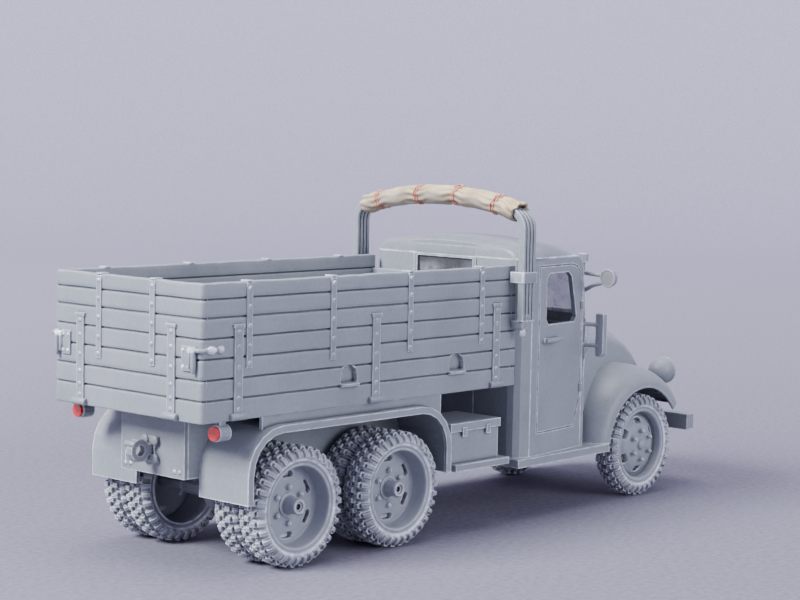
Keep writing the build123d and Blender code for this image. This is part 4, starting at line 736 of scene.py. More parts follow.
def make_paints() -> Paints:
    """Builds every material once.

    Returns:
        All of them.
    """
    effects = Effects()
    return Paints(
        body=PaintFinish("body_paint", BODY_PAINT).material(effects),
        # The cab's inside: a darker copy of the body paint, painted shade.
        inner=PaintFinish("interior_paint", (0.10, 0.105, 0.115), worn_amount=0.3).material(effects),
        # A darker copy of the body paint: painted shade on the running gear, rear panel and tow trim under the
        # truck.
        frame=PaintFinish("underside_shade_paint", (0.15, 0.16, 0.18), worn_amount=0.55, dust_low=0.3).material(effects),
        rim=PaintFinish("rim_paint", (0.23, 0.25, 0.285), worn_amount=0.9, edge_width=0.22,
                        wash_and_shade_width=0.7).material(effects),
        tyre=PaintFinish("tyre_paint", (0.20, 0.215, 0.245), worn=(0.80, 0.84, 0.92), edge_width=0.2,
                         worn_amount=0.95, wash=(0.015, 0.016, 0.02), wash_and_shade_width=0.6, mottle=0.10,
                         roughness=0.55, dust=(0.40, 0.41, 0.44), dust_low=0.25).material(effects),
        # The canvas's pale up-facing colour is a painted highlight on the roll's top.
        canvas=PaintFinish("tilt_canvas", (0.25, 0.165, 0.062), worn=(0.80, 0.62, 0.32),
                           wash=(0.05, 0.028, 0.010), wash_and_shade_width=1.5, edge_width=0.3,
                           worn_amount=0.35, mottle=0.3, grain=1.6, roughness=0.5,
                           dust=(0.92, 0.72, 0.36), dust_and_light_up=0.75, dust_low=0.0).material(effects),
        tie=PaintFinish("tie_straps", (0.47, 0.17, 0.10), worn=(0.72, 0.36, 0.26), wash=(0.14, 0.04, 0.02),
                        edge_width=0.1, roughness=0.6, dust_low=0.0).material(effects),
        red=GlossFinish("red_lens", (0.62, 0.008, 0.004), roughness=0.16, coat=0.8,
                        grime_amount=0.06).material(),
        pane=GlossFinish("clear_pane", (0.55, 0.56, 0.58), roughness=0.10, transmission=0.92,
                         grime_amount=0.4).material(),
        silver=GlossFinish("silver_face", (0.90, 0.91, 0.93), roughness=0.22, metallic=0.75,
                           grime_amount=0.12).material(),
        lamp=GlossFinish("lamp_lens", (0.75, 0.77, 0.80), roughness=0.08, transmission=0.35, coat=0.5,
                         grime_amount=0.3).material(),
    )


# Wheels


@dataclass
class Wheel:
    """One wheel, single or twin, about the Y axis through its node's middle."""

    place: str
    side: Side
    twin: bool
    twin_gap: float = 0.6
    tread_depth: float = 0.5
    lugs: int = 34
    shoulders: tuple[tuple[float, float], ...] = ((0.715, 0.885), (0.115, 0.285))
    shoulder_share: float = 0.56
    shoulder_height: float = 0.38
    treads: tuple[tuple[float, float], ...] = ((0.30, 0.42), (0.44, 0.56), (0.58, 0.70))
    tread_share: float = 0.64
    tread_slant: float = 0.06
    rim_radius: float = 4.77

    def __post_init__(self) -> None:
        """Reads the tyre's place and size from its CAD node."""
        low, high = mm_box(self.node("tyre"))
        self.x = (low[0] + high[0]) / 2
        self.z = (low[2] + high[2]) / 2
        self.radius = (high[2] - low[2]) / 2
        self.outer = max(abs(low[1]), abs(high[1]))
        span = high[1] - low[1]
        self.width = (span - self.twin_gap) / 2 if self.twin else span
        self.inner = self.outer - span

    def node(self, part: str) -> str:
        """The CAD node's name for a part of this wheel."""
        return f"{self.place}_{part}_{self.side.word}"

    @property
    def body(self) -> str:
        """The CAD body that turns with this wheel."""
        return f"{self.place}_wheel_{self.side.word}"

    def section(self, count: int) -> tuple[np.ndarray, np.ndarray]:
        """Outer line of a bare tyre from bead to bead, with its outward normals.

        The line is a superellipse over the rim: y = h sign(c)|c|^0.75 and
        r = bead + (top - bead) s^0.62, with c and s the cosine and sine of the parameter.

        Args:
            count: Number of points.

        Returns:
            Points of (y, r), and their normals.
        """
        t = np.linspace(np.pi, 0, count)
        bead, top, half = self.rim_radius - 0.05, self.radius - self.tread_depth, self.width / 2
        c, s = np.cos(t), np.sin(t)
        y = half * np.sign(c) * np.abs(c) ** 0.62
        r = bead + (top - bead) * np.clip(s, 0, 1) ** 0.5
        y = y * (1 - 0.14 * np.clip((bead + 0.6 - r) / 0.6, 0, 1))
        points = np.stack((y, r), axis=-1)
        along = np.gradient(points, axis=0)
        normals = np.stack((-along[:, 1], along[:, 0]), axis=-1)
        return points, normals / np.linalg.norm(normals, axis=1, keepdims=True)

    def lug_row(self, start: float, end: float, share: float, count: int, phase: float, slant: float,
                height: float) -> Shell:
        """A ring of lugs, each a raised patch of the tyre's own section.

        A lug's point lies at the section's point plus its normal times the height, which falls to
        zero, just under the tyre, along the patch's rim.

        Args:
            start: Where the patch begins along the section, from 0 to 1.
            end: Where it ends.
            share: The patch's share of one step round the tyre.
            count: Number of lugs.
            phase: Turn of the ring, in steps.
            slant: How far the patch leans round the tyre from start to end, in steps.
            height: Height of the lugs over the tyre.

        Returns:
            All lugs of the ring.
        """
        across = np.array((0.0, 0.04, 0.14, 0.38, 0.62, 0.86, 0.96, 1.0))
        around = np.array((0.0, 0.05, 0.2, 0.8, 0.95, 1.0))
        rise_a = np.array((0.0, 0.7, 1.0, 1.0, 1.0, 1.0, 0.7, 0.0))
        rise_b = np.array((0.0, 0.7, 1.0, 1.0, 0.7, 0.0))
        line, normal = self.section(121)
        length = np.concatenate(([0], np.cumsum(np.linalg.norm(np.diff(line, axis=0), axis=1))))
        where = (start + (end - start) * across) * length[-1]
        y, r = np.interp(where, length, line[:, 0]), np.interp(where, length, line[:, 1])
        ny, nr = np.interp(where, length, normal[:, 0]), np.interp(where, length, normal[:, 1])
        lift = np.minimum(rise_a[:, None], rise_b[None, :]) * (height + 0.12) - 0.12
        step = 2 * np.pi / count
        turn = step * (share * (around[None, :] - 0.5) + slant * (across[:, None] - 0.5))
        ring = step * (np.arange(count) + phase)
        angle = turn[None] + ring[:, None, None]
        radius = (r[:, None] + nr[:, None] * lift)[None]
        side = np.broadcast_to((y[:, None] + ny[:, None] * lift)[None], angle.shape)
        points = np.stack((radius * np.cos(angle), side, radius * np.sin(angle)), axis=-1)
        faces = grid_faces(len(across), len(around), False, False)
        shift = (np.arange(count) * len(across) * len(around))[:, None, None]
        return Shell(points.reshape(-1, 3), (faces[None] + shift).reshape(-1, 4))

    def tyre(self) -> Shell:
        """One tyre about the origin: bare casing, shoulder lugs and three staggered rings of blocks.

        Returns:
            The tyre.
        """
        line, _ = self.section(41)
        bead = self.rim_radius - 0.35
        inner = np.array(((self.width / 2 * 0.72, bead), (-self.width / 2 * 0.72, bead)))
        casing = lathe(np.vstack((line, inner)), 96, closed=True)
        ring_y, ring_r = self.width / 2 * 0.90, self.rim_radius + 0.34
        turn = np.linspace(0, 2 * np.pi, 9)[:-1]
        bulge = np.stack((ring_y + 0.07 * np.cos(turn), ring_r + 0.07 * np.sin(turn)), axis=-1)
        rib = lathe(bulge, 72, closed=True)
        shoulders = [self.lug_row(low, high, self.shoulder_share, self.lugs, 0.5 * index, 0.0,
                                  self.shoulder_height) for index, (low, high) in enumerate(self.shoulders)]
        blocks = [self.lug_row(low, high, self.tread_share, self.lugs, 0.5 * (index % 2),
                               self.tread_slant * (1 - index), self.tread_depth)
                  for index, (low, high) in enumerate(self.treads)]
        return joined([casing, rib, rib.on_side(Side.RIGHT), *shoulders, *blocks])

    def tyres(self) -> Shell:
        """The tyre, or both tyres of a twin wheel, at rest.

        Returns:
            The tyres at the wheel's place.
        """
        one = self.tyre()
        outer = one.moved(y=self.outer - self.width / 2)
        if self.twin:
            outer = outer + one.moved(y=self.outer - 1.5 * self.width - self.twin_gap)
        return outer.on_side(self.side).moved(self.x, 0, self.z)

    def disc_profile(self) -> tuple[np.ndarray, np.ndarray]:
        """Depth of the disc below the tyre's face against its radius.

        Returns:
            The radii, and the depth at each.
        """
        if self.twin:
            rows = ((0.0, 0.62), (0.30, 0.62), (0.31, 0.50), (0.34, 0.30), (0.52, 0.28), (0.55, 0.14),
                    (0.62, 0.10), (0.76, 0.10), (0.82, 0.20), (0.86, 0.60), (0.90, 1.55), (0.96, 1.72),
                    (1.30, 1.78), (1.34, 1.90), (1.6, 1.95), (2.5, 1.95), (3.0, 2.0), (3.95, 2.05),
                    (4.12, 2.0), (4.22, 1.85), (4.30, 1.2), (4.36, 0.35), (4.40, 0.12), (4.48, 0.04),
                    (4.62, 0.02), (4.72, 0.08), (4.77, 0.25))
        else:
            rows = ((0.0, -0.30), (0.25, -0.29), (0.45, -0.22), (0.60, -0.08), (0.64, 0.10), (0.80, 0.16),
                    (1.2, 0.18), (1.9, 0.24), (2.5, 0.34), (2.9, 0.50), (3.4, 0.82), (3.8, 1.08),
                    (4.0, 1.16), (4.10, 1.14), (4.16, 1.02), (4.22, 0.5), (4.28, 0.20), (4.36, 0.06),
                    (4.50, 0.0), (4.62, 0.0), (4.72, 0.06), (4.77, 0.22))
        table = np.asarray(rows)
        return table[:, 0], table[:, 1]

    def holes(self, r: np.ndarray, angle: np.ndarray) -> np.ndarray:
        """How deep a point of the disc lies in one of the six slots round it, from 0 to 1.

        A slot is a bar bent round the hub, with distance = hypot(r - R, R x clipped angle).

        Args:
            r: Radius of the point.
            angle: Its angle.

        Returns:
            1 inside a slot and 0 outside, with a short slope.
        """
        middle, half_length, half_width = (3.32, 0.42, 0.34) if self.twin else (3.12, 0.32, 0.33)
        step = np.pi / 3
        local = (angle - step / 2 + step / 2) % step - step / 2
        along = np.maximum(np.abs(local) * middle - half_length, 0.0)
        distance = np.hypot(r - middle, along)
        return 1.0 - smooth_step(distance, half_width - 0.07, half_width + 0.04)

    def rim(self) -> Shell:
        """The rim's outer face, its back, and the nuts round the hub.

        The face is the disc's profile turned about Y, deeper where a slot is.

        Returns:
            The rim of a left wheel about the origin.
        """
        radius, depth = self.disc_profile()
        extra = np.linspace(2.6, 3.95, 16)
        r = np.unique(np.concatenate((radius, extra)))
        steps = 144
        angle = np.linspace(0, 2 * np.pi, steps, endpoint=False)[None, :]
        grid_r = r[:, None] + 0 * angle
        deep = np.interp(grid_r, radius, depth) + 0.55 * self.holes(grid_r, angle + 0 * grid_r)
        face = self.outer - 0.12
        points = np.stack((grid_r * np.cos(angle), face - deep, grid_r * np.sin(angle)), axis=-1)
        back_depth = 2.75 if self.twin else 2.0
        back_y = self.inner + 0.15
        rows = ((4.77, face - 0.3), (4.70, face - 1.0), (4.60, back_y), (4.42, back_y),
                (4.36, face - back_depth - 0.1), (4.2, face - back_depth), (0.62, face - back_depth),
                (0.62, back_y), (0.0, back_y))
        backs = np.array(rows)[:, :, None] + np.zeros((1, 1, steps))
        rear = np.stack((backs[:, 0] * np.cos(angle), backs[:, 1], backs[:, 0] * np.sin(angle)), axis=-1)
        shell = grid_shell(np.concatenate((points, rear)), wrap_columns=True)
        across, tall, ring = (0.60, 0.46, 1.98) if self.twin else (0.58, 0.62, 1.86)
        place = np.pi / 3 * (np.arange(6) + 0.5)
        seat = face - np.interp(ring, radius, depth)
        heads = nut(across, tall).turned(np.array(((1, 0, 0), (0, 0, 1), (0, -1, 0))))
        c, s = np.cos(place), np.sin(place)
        zero, one = np.zeros(6), np.ones(6)
        turns = np.stack((c, zero, -s, zero, one, zero, s, zero, c), axis=-1).reshape(6, 3, 3)
        places = np.stack((ring * c, zero + seat - 0.03, ring * s), axis=-1)
        return shell + heads.repeated(turns, places)

    def dress(self, paints: Paints) -> None:
        """Builds the tyre and the rim in place of their CAD nodes.

        Args:
            paints: The truck's materials.
        """
        build(f"{self.place}_tread_{self.side.word}", self.tyres(), paints.tyre, [self.node("tyre")], 38,
              self.body)
        rim = self.rim().on_side(self.side).moved(self.x, 0, self.z)
        build(f"{self.place}_disc_{self.side.word}", rim, paints.rim, [self.node("rim")], 48, self.body)


# Tilt


@dataclass
class RolledTilt:
    """The rolled canvas over the folded bows, and its four ties."""

    ties: tuple[float, ...] = (-9.2, -2.9, 3.15, 9.65)
    tie_radius: float = 0.15

    def __post_init__(self) -> None:
        """Reads the roll's place and size from its CAD node."""
        low, high = mm_box("tilt_roll")
        self.x = (low[0] + high[0]) / 2
        self.half_depth = (high[0] - low[0]) / 2
        self.half_span = (high[1] - low[1]) / 2 - 1.45
        self.arch = 45.6
        self.half_height = 1.25
        self.top = high[2] - self.half_height

    def middle(self, y: np.ndarray) -> tuple[np.ndarray, np.ndarray]:
        """The arch that the roll lies on: a circle about a point far below.

        Args:
            y: Places across the truck.

        Returns:
            Its heights, and its slopes.
        """
        root = np.sqrt(self.arch ** 2 - y ** 2)
        return self.top - self.arch + root, -y / root

    def surface(self, y: np.ndarray, around: np.ndarray, grow: float = 0.0) -> np.ndarray:
        """Points of the roll's skin.

        The section is an oval, made smaller by the fold that runs along the roll, by the pinch of
        each tie, 1 - 0.16 exp(-(d/0.8)²), and by creases that fan out from the ties.

        Args:
            y: Places across the truck.
            around: Angles round the section.
            grow: Extra size of the oval.

        Returns:
            Points, with the shape of y by around.
        """
        y, around = y[:, None], around[None, :]
        near = np.min(np.abs(y[..., None] - np.array(self.ties)), axis=-1)
        pinch = 1 - 0.13 * np.exp(-(near / 0.75) ** 2)
        fold = 0.045 * np.sin(2 * around + 0.35 * np.sin(y * 0.35)) + 0.04 * np.sin(3 * around + 0.22 * y)
        crease = 0.075 * np.exp(-(near / 1.9) ** 2) * np.sin(9 * around + 1.3 * np.sin(1.7 * y))
        wrinkle = 0.032 * waves(1.1 * y, 1.6 * around + 0 * y, 7, 9, 1.0, 3.2)
        seam = -0.16 * np.exp(-((np.angle(np.exp(1j * (around + 0.35 + 0.12 * np.sin(0.5 * y))))) / 0.12) ** 2)
        end = smooth_step(np.abs(y), self.half_span - 2.2, self.half_span)
        bunch = 0.10 * end * np.sin(7 * around + 2.0 * y)
        size = np.clip(pinch * (1 + fold + crease + wrinkle + bunch) + 0.6 * seam, 0.55, 1.09) * 0.93
        height, slope = self.middle(y)
        away = 1 / np.sqrt(1 + slope ** 2)
        a = (self.half_depth * size + grow) * np.cos(around)
        b = (self.half_height * size + grow) * np.sin(around)
        return np.stack((self.x + a, y - b * slope * away, height + b * away), axis=-1)

    def roll(self) -> Shell:
        """The skin, drawn in at both ends to a rounded hem.

        Returns:
            The closed roll.
        """
        y = np.linspace(-self.half_span, self.half_span, 260)
        around = np.linspace(0, 2 * np.pi, 96, endpoint=False)
        skin = self.surface(y, around)
        rings = []
        for row, inward in ((skin[0], 1.0), (skin[-1], -1.0)):
            centre = row.mean(axis=0)
            ends = [centre + (row - centre) * share + np.array((0, -inward * lift, 0))
                    for share, lift in ((0.97, 0.10), (0.90, 0.16), (0.80, 0.13), (0.72, 0.0), (0.70, -0.5),
                                        (0.0, -0.5))]
            rings.append(np.stack(ends))
        points = np.concatenate((rings[0][::-1], skin, rings[1]))
        return grid_shell(points, wrap_columns=True)

    def tie(self, y: float, seed: int) -> Shell:
        """Two turns of cord round the roll and a small knot on top.

        Args:
            y: Place across the truck.
            seed: Seed of its random lean.

        Returns:
            The tie.
        """
        around = np.linspace(0, 2 * np.pi, 60, endpoint=False)
        rng = np.random.default_rng(seed)
        turns = []
        for offset in (-0.17, 0.17):
            lean = rng.uniform(-0.12, 0.12)
            place = y + offset + lean * np.cos(around) + 0.05 * np.sin(2 * around + seed)
            rows = self.surface(place, around, self.tie_radius * 0.35)
            path = rows[np.arange(60), np.arange(60)]
            turns.append(tube(path, self.tie_radius, 8, closed=True))
        top = self.surface(np.array((y,)), np.array((1.35,)), self.tie_radius)[0, 0]
        knot = dome(0.30, 0.22).moved(*top)
        tails = [tube([top, top + np.array((0.5 * way, 0.25, 0.10)), top + np.array((0.9 * way, 0.6, -0.10))],
                      self.tie_radius * 0.7, 8) for way in (-1, 1)]
        return joined([*turns, knot, *tails])

    def dress(self, paints: Paints) -> None:
        """Builds the roll and its ties in place of their CAD nodes.

        Args:
            paints: The truck's materials.
        """
        build("canvas_roll", self.roll(), paints.canvas, ["tilt_roll"], 70)
        cords = joined([self.tie(y, index) for index, y in enumerate(self.ties)])
        build("tie_cords", cords, paints.tie, ["tilt_ties"], 70)


# Cargo bed


@dataclass(frozen=True)
class Iron:
    """A flat strap: its middle along the board, its lower and upper end, its width and thickness."""

    place: float
    low: float
    high: float
    width: float
    thick: float


@dataclass
class Board:
    """A planked board carried along a path that is seen from above.

    Attributes:
        along: Distance of each station along the board, where irons and hand holds are placed.
        outer: Points (x, y) of the outer face.
        normal: Outward direction of the outer face at each station.
        inner: Points (x, y) of the inner face.
        low: Height of the foot.
        high: Height of the top.
        seams: Heights of the plank seams.
        irons: The straps on the outer face.
        holds: Middles of the hand holds.
    """

    along: np.ndarray
    outer: np.ndarray
    normal: np.ndarray
    inner: np.ndarray
    low: float
    high: float
    seams: tuple[float, ...]
    irons: tuple[Iron, ...] = ()
    holds: tuple[float, ...] = ()
    wall: float = 0.9
    groove_depth: float = 0.21
    groove_half: float = 0.1
    edge: float = 0.16
    hold_low: float = 19.18
    hold_radius: float = 1.2
    hold_square: float = 0.75
    hold_depth: float = 0.6
    ledge_out: float = 0.40

    def heights(self) -> np.ndarray:
        """Heights of the grid's rows: close together at seams, straps' ends and hand holds.

        Returns:
            The heights in rising order.
        """
        rows = [np.linspace(self.low + self.edge, self.high - self.edge, 30)]
        near = np.array((-0.2, -0.12, -0.08, -0.04, 0.0, 0.04, 0.08, 0.12, 0.2))
        rows += [seam + near for seam in self.seams]
        for iron in self.irons:
            rows += [end + np.array((-0.08, -0.02, 0.03, 0.1)) for end in (iron.low, iron.high)]
        if self.holds:
            rows.append(np.linspace(self.hold_low - 0.6, self.hold_low + self.hold_square + 1.4, 30))
        found = np.unique(np.round(np.concatenate(rows), 3))
        return found[(found >= self.low + self.edge) & (found <= self.high - self.edge)]

    def relief(self, s: np.ndarray, z: np.ndarray) -> np.ndarray:
        """How far the outer face stands out.

        Seams are pits, -depth exp(-(d/half)^2). A strap is a plateau that covers them. A hand
        hold is a pocket under an arch with a ledge below it.

        Args:
            s: Places along the board.
            z: Heights.

        Returns:
            The distance at each place and height, below zero in a pit.
        """
        out = np.zeros(np.broadcast(s, z).shape)
        for index, seam in enumerate(self.seams):
            wander = 0.012 * np.sin(0.9 * s + 2.1 * index)
            out = out - self.groove_depth * np.exp(-((z - seam + wander) / self.groove_half) ** 2)
        out = out + 0.012 * waves(s * 0.9, z * 2.5, 3, 6, 0.4, 1.6)
        for place in self.holds:
            up = np.maximum(z - self.hold_low - self.hold_square, 0.0)
            inside = self.hold_radius - np.hypot(s - place, up)
            pocket = (smooth_step(inside, -0.04, 0.07)
                      * smooth_step(z, self.hold_low - 0.02, self.hold_low + 0.06))
            out = out * (1 - pocket) - self.hold_depth * pocket
            half = self.hold_radius + 0.18
            ledge = (smooth_step(half - np.abs(s - place), -0.02, 0.1)
                     * smooth_step(z, self.hold_low - 0.5, self.hold_low - 0.38)
                     * (1 - smooth_step(z, self.hold_low - 0.1, self.hold_low)))
            out = out * (1 - ledge) + self.ledge_out * ledge
        for iron in self.irons:
            mask = (smooth_step(iron.width / 2 - np.abs(s - iron.place), -0.035, 0.035)
                    * smooth_step(z, iron.low - 0.03, iron.low + 0.04)
                    * (1 - smooth_step(z, iron.high - 0.04, iron.high + 0.03)))
            out = out * (1 - mask) + iron.thick * mask
        return out

    def shell(self) -> Shell:
        """The board as one loop at each station, carried along the path.

        The loop is the outer face with its relief, a quarter circle to the top, the inner face
        with the same seams, and a rounded foot. The top edge wanders a little up and down.

        Returns:
            The closed board.
        """
        z = self.heights()
        turn = np.linspace(0, np.pi / 2, 4)[1:]
        share = self.edge / self.wall
        arc_in, arc_up = share * (1 - np.cos(turn)), self.edge * (1 - np.sin(turn))
        inner_z = z[::-1]
        pits = sum(np.exp(-((inner_z - seam) / self.groove_half) ** 2) for seam in self.seams)
        t = np.concatenate((np.zeros(len(z)), arc_in, 1 - arc_in[::-1],
                            1 - self.groove_depth / self.wall * pits, 1 - arc_in, arc_in[::-1]))
        height = np.concatenate((z, self.high - arc_up, self.high - arc_up[::-1], inner_z,
                                 self.low + arc_up, self.low + arc_up[::-1]))
        out = np.zeros((len(self.along), len(t)))
        out[:, :len(z)] = self.relief(self.along[:, None], z[None, :])
        flat = self.outer[:, None, :] + (self.inner - self.outer)[:, None, :] * t[None, :, None] \
            + self.normal[:, None, :] * out[..., None]
        rough = 0.03 * waves(self.along, 0 * self.along, 11, 8, 0.8, 5.0)[:, None]
        edge_rows = (np.abs(height - self.high) < self.edge) & (t > 0)
        tall = height[None, :] + np.where(edge_rows, rough, 0.0) + 0 * out
        return capped(np.concatenate((flat, tall[..., None]), axis=-1))


def stations(start: float, end: float, irons: Sequence[Iron], holds: Sequence[float],
             step: float = 1.2) -> np.ndarray:
    """Places along a board: even steps, and close together at straps' edges and hand holds.

    Args:
        start: Where the board begins.
        end: Where it ends.
        irons: Its straps.
        holds: Middles of its hand holds.
        step: Length of the even steps.

    Returns:
        The places in rising order.
    """
    rows = [np.arange(start, end, step), np.array((start, end))]
    near = np.array((-0.09, -0.035, 0.0, 0.035, 0.09))
    for iron in irons:
        rows += [iron.place + side * iron.width / 2 + near for side in (-1, 1)]
    rows += [place + np.linspace(-1.6, 1.6, 33) for place in holds]
    found = np.unique(np.round(np.concatenate(rows), 3))
    return found[(found >= start) & (found <= end)]


@dataclass
class Bed:
    """The cargo bed: four boards, straps with their rivets, hinge rolls and the tailgate's latches."""

    length: float = 49.8
    half: float = 11.92
    wall: float = 0.9
    low: float = 16.58
    high: float = 30.88
    seams: tuple[float, ...] = (18.88, 20.98, 23.13, 25.23, 27.33, 29.23)
    upper_x: tuple[float, ...] = (6.5, 18.77, 31.03, 43.3)
    hinge_x: tuple[float, ...] = (5.0, 25.5, 46.0)
    upper_y: tuple[float, ...] = (-4.35, 4.35)
    hinge_y: tuple[float, ...] = (-7.4, 7.4)
    upper_width: float = 0.82
    upper_rivets: tuple[float, ...] = (30.2, 28.3, 26.3, 24.2, 22.4)
    hinge_rivets: tuple[float, ...] = (25.75, 24.2, 22.1, 20.3, 18.9, 17.75)
    hold_x: tuple[float, ...] = (21.4, 39.1)
    corner: float = 0.42
    rivet: float = 0.27
    rivet_seat: float = 0.13
    roll_reach: float = 1.1
    roll_radius: float = 0.4
    latch_y: float = 9.75

    def irons(self, upper: Sequence[float], hinge: Sequence[float]) -> tuple[Iron, ...]:
        """Narrow irons from the top, wide irons from the foot, and each wide iron's flat cap.

        Args:
            upper: Places of the narrow irons.
            hinge: Places of the wide irons.

        Returns:
            All irons of a board.
        """
        narrow = [Iron(place, self.high - 9.0, self.high + 1, self.upper_width, 0.15) for place in upper]
        wide = [Iron(place, self.low + 0.3, self.low + 9.9, 1.2, 0.18) for place in hinge]
        caps = [Iron(place, self.low + 9.6, self.low + 10.0, 1.5, 0.26) for place in hinge]
        return tuple(narrow + wide + caps)

    def side_board(self) -> Shell:
        """The left side board, its ends tucked into the corners of the other two boards.

        Returns:
            The closed board.
        """
        irons = self.irons(self.upper_x, self.hinge_x)
        start, end = self.corner - 0.06, self.length - self.corner + 0.06
        s = stations(start, end, irons, self.hold_x)
        tuck = 0.08 * (1 - smooth_step(np.minimum(s - start, end - s), 0.0, 0.09))
        outer = np.stack((s + TAIL, self.half - tuck), axis=-1)
        inner = np.stack((s + TAIL, np.full(len(s), self.half - self.wall)), axis=-1)
        normal = np.broadcast_to(np.array((0.0, 1.0)), outer.shape)
        return Board(s, outer, normal, inner, self.low, self.high, self.seams, irons, self.hold_x).shell()

    def end_board(self, at_tail: bool) -> Shell:
        """The tailgate, or the lower front board, round both corners of the bed.

        The outer line runs across the bed and turns each corner on a quarter circle.

        Args:
            at_tail: Whether the board is the tailgate.

        Returns:
            The closed board.
        """
        irons = self.irons(self.upper_y, self.hinge_y) if at_tail else ()
        straight = self.half - self.corner
        s = stations(-straight, straight, irons, ())
        turn = np.linspace(0, np.pi / 2, 7)[:-1]
        bend = self.corner * np.stack((1 - np.sin(turn), np.cos(turn)), axis=-1)
        bend[:, 1] += straight
        lead = np.array(((0.87, self.half - 0.07), (0.6, self.half - 0.06)))
        one_end = np.vstack((lead, bend))
        flat = np.stack((np.zeros(len(s)), s), axis=-1)
        outer = np.vstack((one_end * np.array((1, -1)), flat, one_end[::-1]))
        bend_normal = np.vstack((((0, 1), (0, 1)), np.stack((-np.sin(turn), np.cos(turn)), axis=-1)))
        normal = np.vstack((bend_normal * np.array((1, -1)), np.tile((-1.0, 0.0), (len(s), 1)),
                            bend_normal[::-1]))
        reach = self.half - 0.85
        inner = np.stack((np.full(len(outer), self.wall), np.clip(outer[:, 1], -reach, reach)), axis=-1)
        spare = straight + 0.1 * np.arange(1, len(one_end) + 1)
        along = np.concatenate((-spare[::-1], s, spare))
        if not at_tail:
            outer, inner, normal = (rows * np.array((-1, 1)) for rows in (outer, inner, normal))
            outer, inner = outer + np.array((self.length, 0)), inner + np.array((self.length, 0))
        shift = np.array((TAIL, 0))
        top, seams = (self.high, self.seams) if at_tail else (self.seams[-1], self.seams[:-1])
        return Board(along, outer + shift, normal, inner + shift, self.low, top, seams, irons).shell()

    def rivets(self) -> Shell:
        """All rivet heads, in rows on both sides' and the tailgate's irons.

        Returns:
            Every head as one shell.
        """
        head = dome(self.rivet, self.rivet * 0.8)
        side = np.vstack((pairs(self.upper_x, self.upper_rivets), pairs(self.hinge_x, self.hinge_rivets)))
        back = np.vstack((pairs(self.upper_y, self.upper_rivets), pairs(self.hinge_y, self.hinge_rivets)))
        out = np.full(len(side), self.half + self.rivet_seat)
        left = head.turned(FACE_LEFT).copies(np.stack((side[:, 0] + TAIL, out, side[:, 1]), axis=-1))
        out = np.full(len(back), TAIL - self.rivet_seat)
        return left.both() + head.turned(FACE_BACK).copies(np.stack((out, back[:, 0], back[:, 1]), axis=-1))

    def hinges(self) -> Shell:
        """A round bar under each wide iron, and each narrow iron's bend over the board's top.

        Returns:
            All of them as one shell.
        """
        pieces, z, r = [], self.low + 0.42, self.roll_radius
        reach = np.array((-self.roll_reach, 0.0, self.roll_reach))
        for x in self.hinge_x:
            path = np.stack((x + TAIL + reach, np.full(3, self.half + 0.2), np.full(3, z)), axis=-1)
            pieces.append(tube(path, r, 12).both())
        for y in self.hinge_y:
            path = np.stack((np.full(3, TAIL - 0.2), y + reach, np.full(3, z)), axis=-1)
            pieces.append(tube(path, r, 12))
        length, thick, top = 1.16, 0.2, self.high + 0.05
        for x in self.upper_x:
            pieces.append(soft_block((self.upper_width, length, thick),
                                     (x + TAIL, self.half - 0.42, top), 0.08).both())
        for y in self.upper_y:
            pieces.append(soft_block((length, self.upper_width, thick), (TAIL + 0.42, y, top), 0.08))
        return joined(pieces)

    def latch(self) -> Shell:
        """The left latch: riveted plate, barrel, handle, hook round the corner and its two bolts.

        Returns:
            The latch as one shell.
        """
        z, face, y = self.low + 7.1, TAIL, self.latch_y
        plate = soft_block((0.3, 1.35, 2.6), (face - 0.1, y, z - 0.5), 0.1)
        spots = np.array([(face - 0.23, y + dy, z - 0.5 + dz) for dy in (-0.38, 0.38) for dz in (-0.85, 0.85)])
        heads = dome(0.2, 0.16).turned(FACE_BACK).copies(spots)
        barrel = tube([(face - 0.28, 10.5, z - 1.5), (face - 0.28, 10.5, z - 0.5),
                       (face - 0.28, 10.5, z + 0.7)], 0.27, 12)
        handle = tube([(face - 0.36, 11.05, z - 2.0), (face - 0.36, 11.05, z - 1.2), (face - 0.36, 11.05, z - 0.2),
                       (face - 0.36, 11.05, z + 0.85)], np.array((0.2, 0.29, 0.29, 0.27)), 12)
        hook = tube([(face - 0.3, 10.2, z + 0.45), (face - 0.34, 11.0, z + 0.45),
                     (face - 0.28, 11.75, z + 0.45), (face, 12.1, z + 0.42), (face + 0.5, 12.2, z + 0.42),
                     (face + 1.4, 12.15, z + 0.42)], 0.24, 12)
        bar = tube([(face + 0.5, 12.1, z + 0.42), (face + 1.5, 12.1, z + 0.42),
                    (face + 2.7, 12.05, z + 0.4)], 0.26, 12)
        bolt = lathe(((0.0, 0.0), (0.0, 0.46), (0.16, 0.5), (0.3, 0.42), (0.36, 0.25), (0.38, 0.0)), 16)
        bolts = [bolt.moved(face + x, 11.9, z + 0.42) for x in (1.25, 2.55)]
        return joined([plate, heads, barrel, handle, hook, bar, *bolts])

    def dress(self, paints: Paints) -> None:
        """Builds the boards and latches in place of their CAD nodes, and the small irons.

        Args:
            paints: The truck's materials.
        """
        side = self.side_board()
        for which in Side:
            build(f"planks_{which.word}", side.on_side(which), paints.body, [f"bed_side_{which.word}"], 60)
        build("planks_tail", self.end_board(True), paints.body, ["tailgate"], 60)
        build("planks_front", self.end_board(False), paints.body, ["bed_front_board"], 60)
        build("strap_rivets", self.rivets(), paints.body, sharp=70)
        build("strap_hinges", self.hinges(), paints.body, sharp=50)
        build("latch_irons", self.latch().both(), paints.body, ["tailgate_latches"], 60)


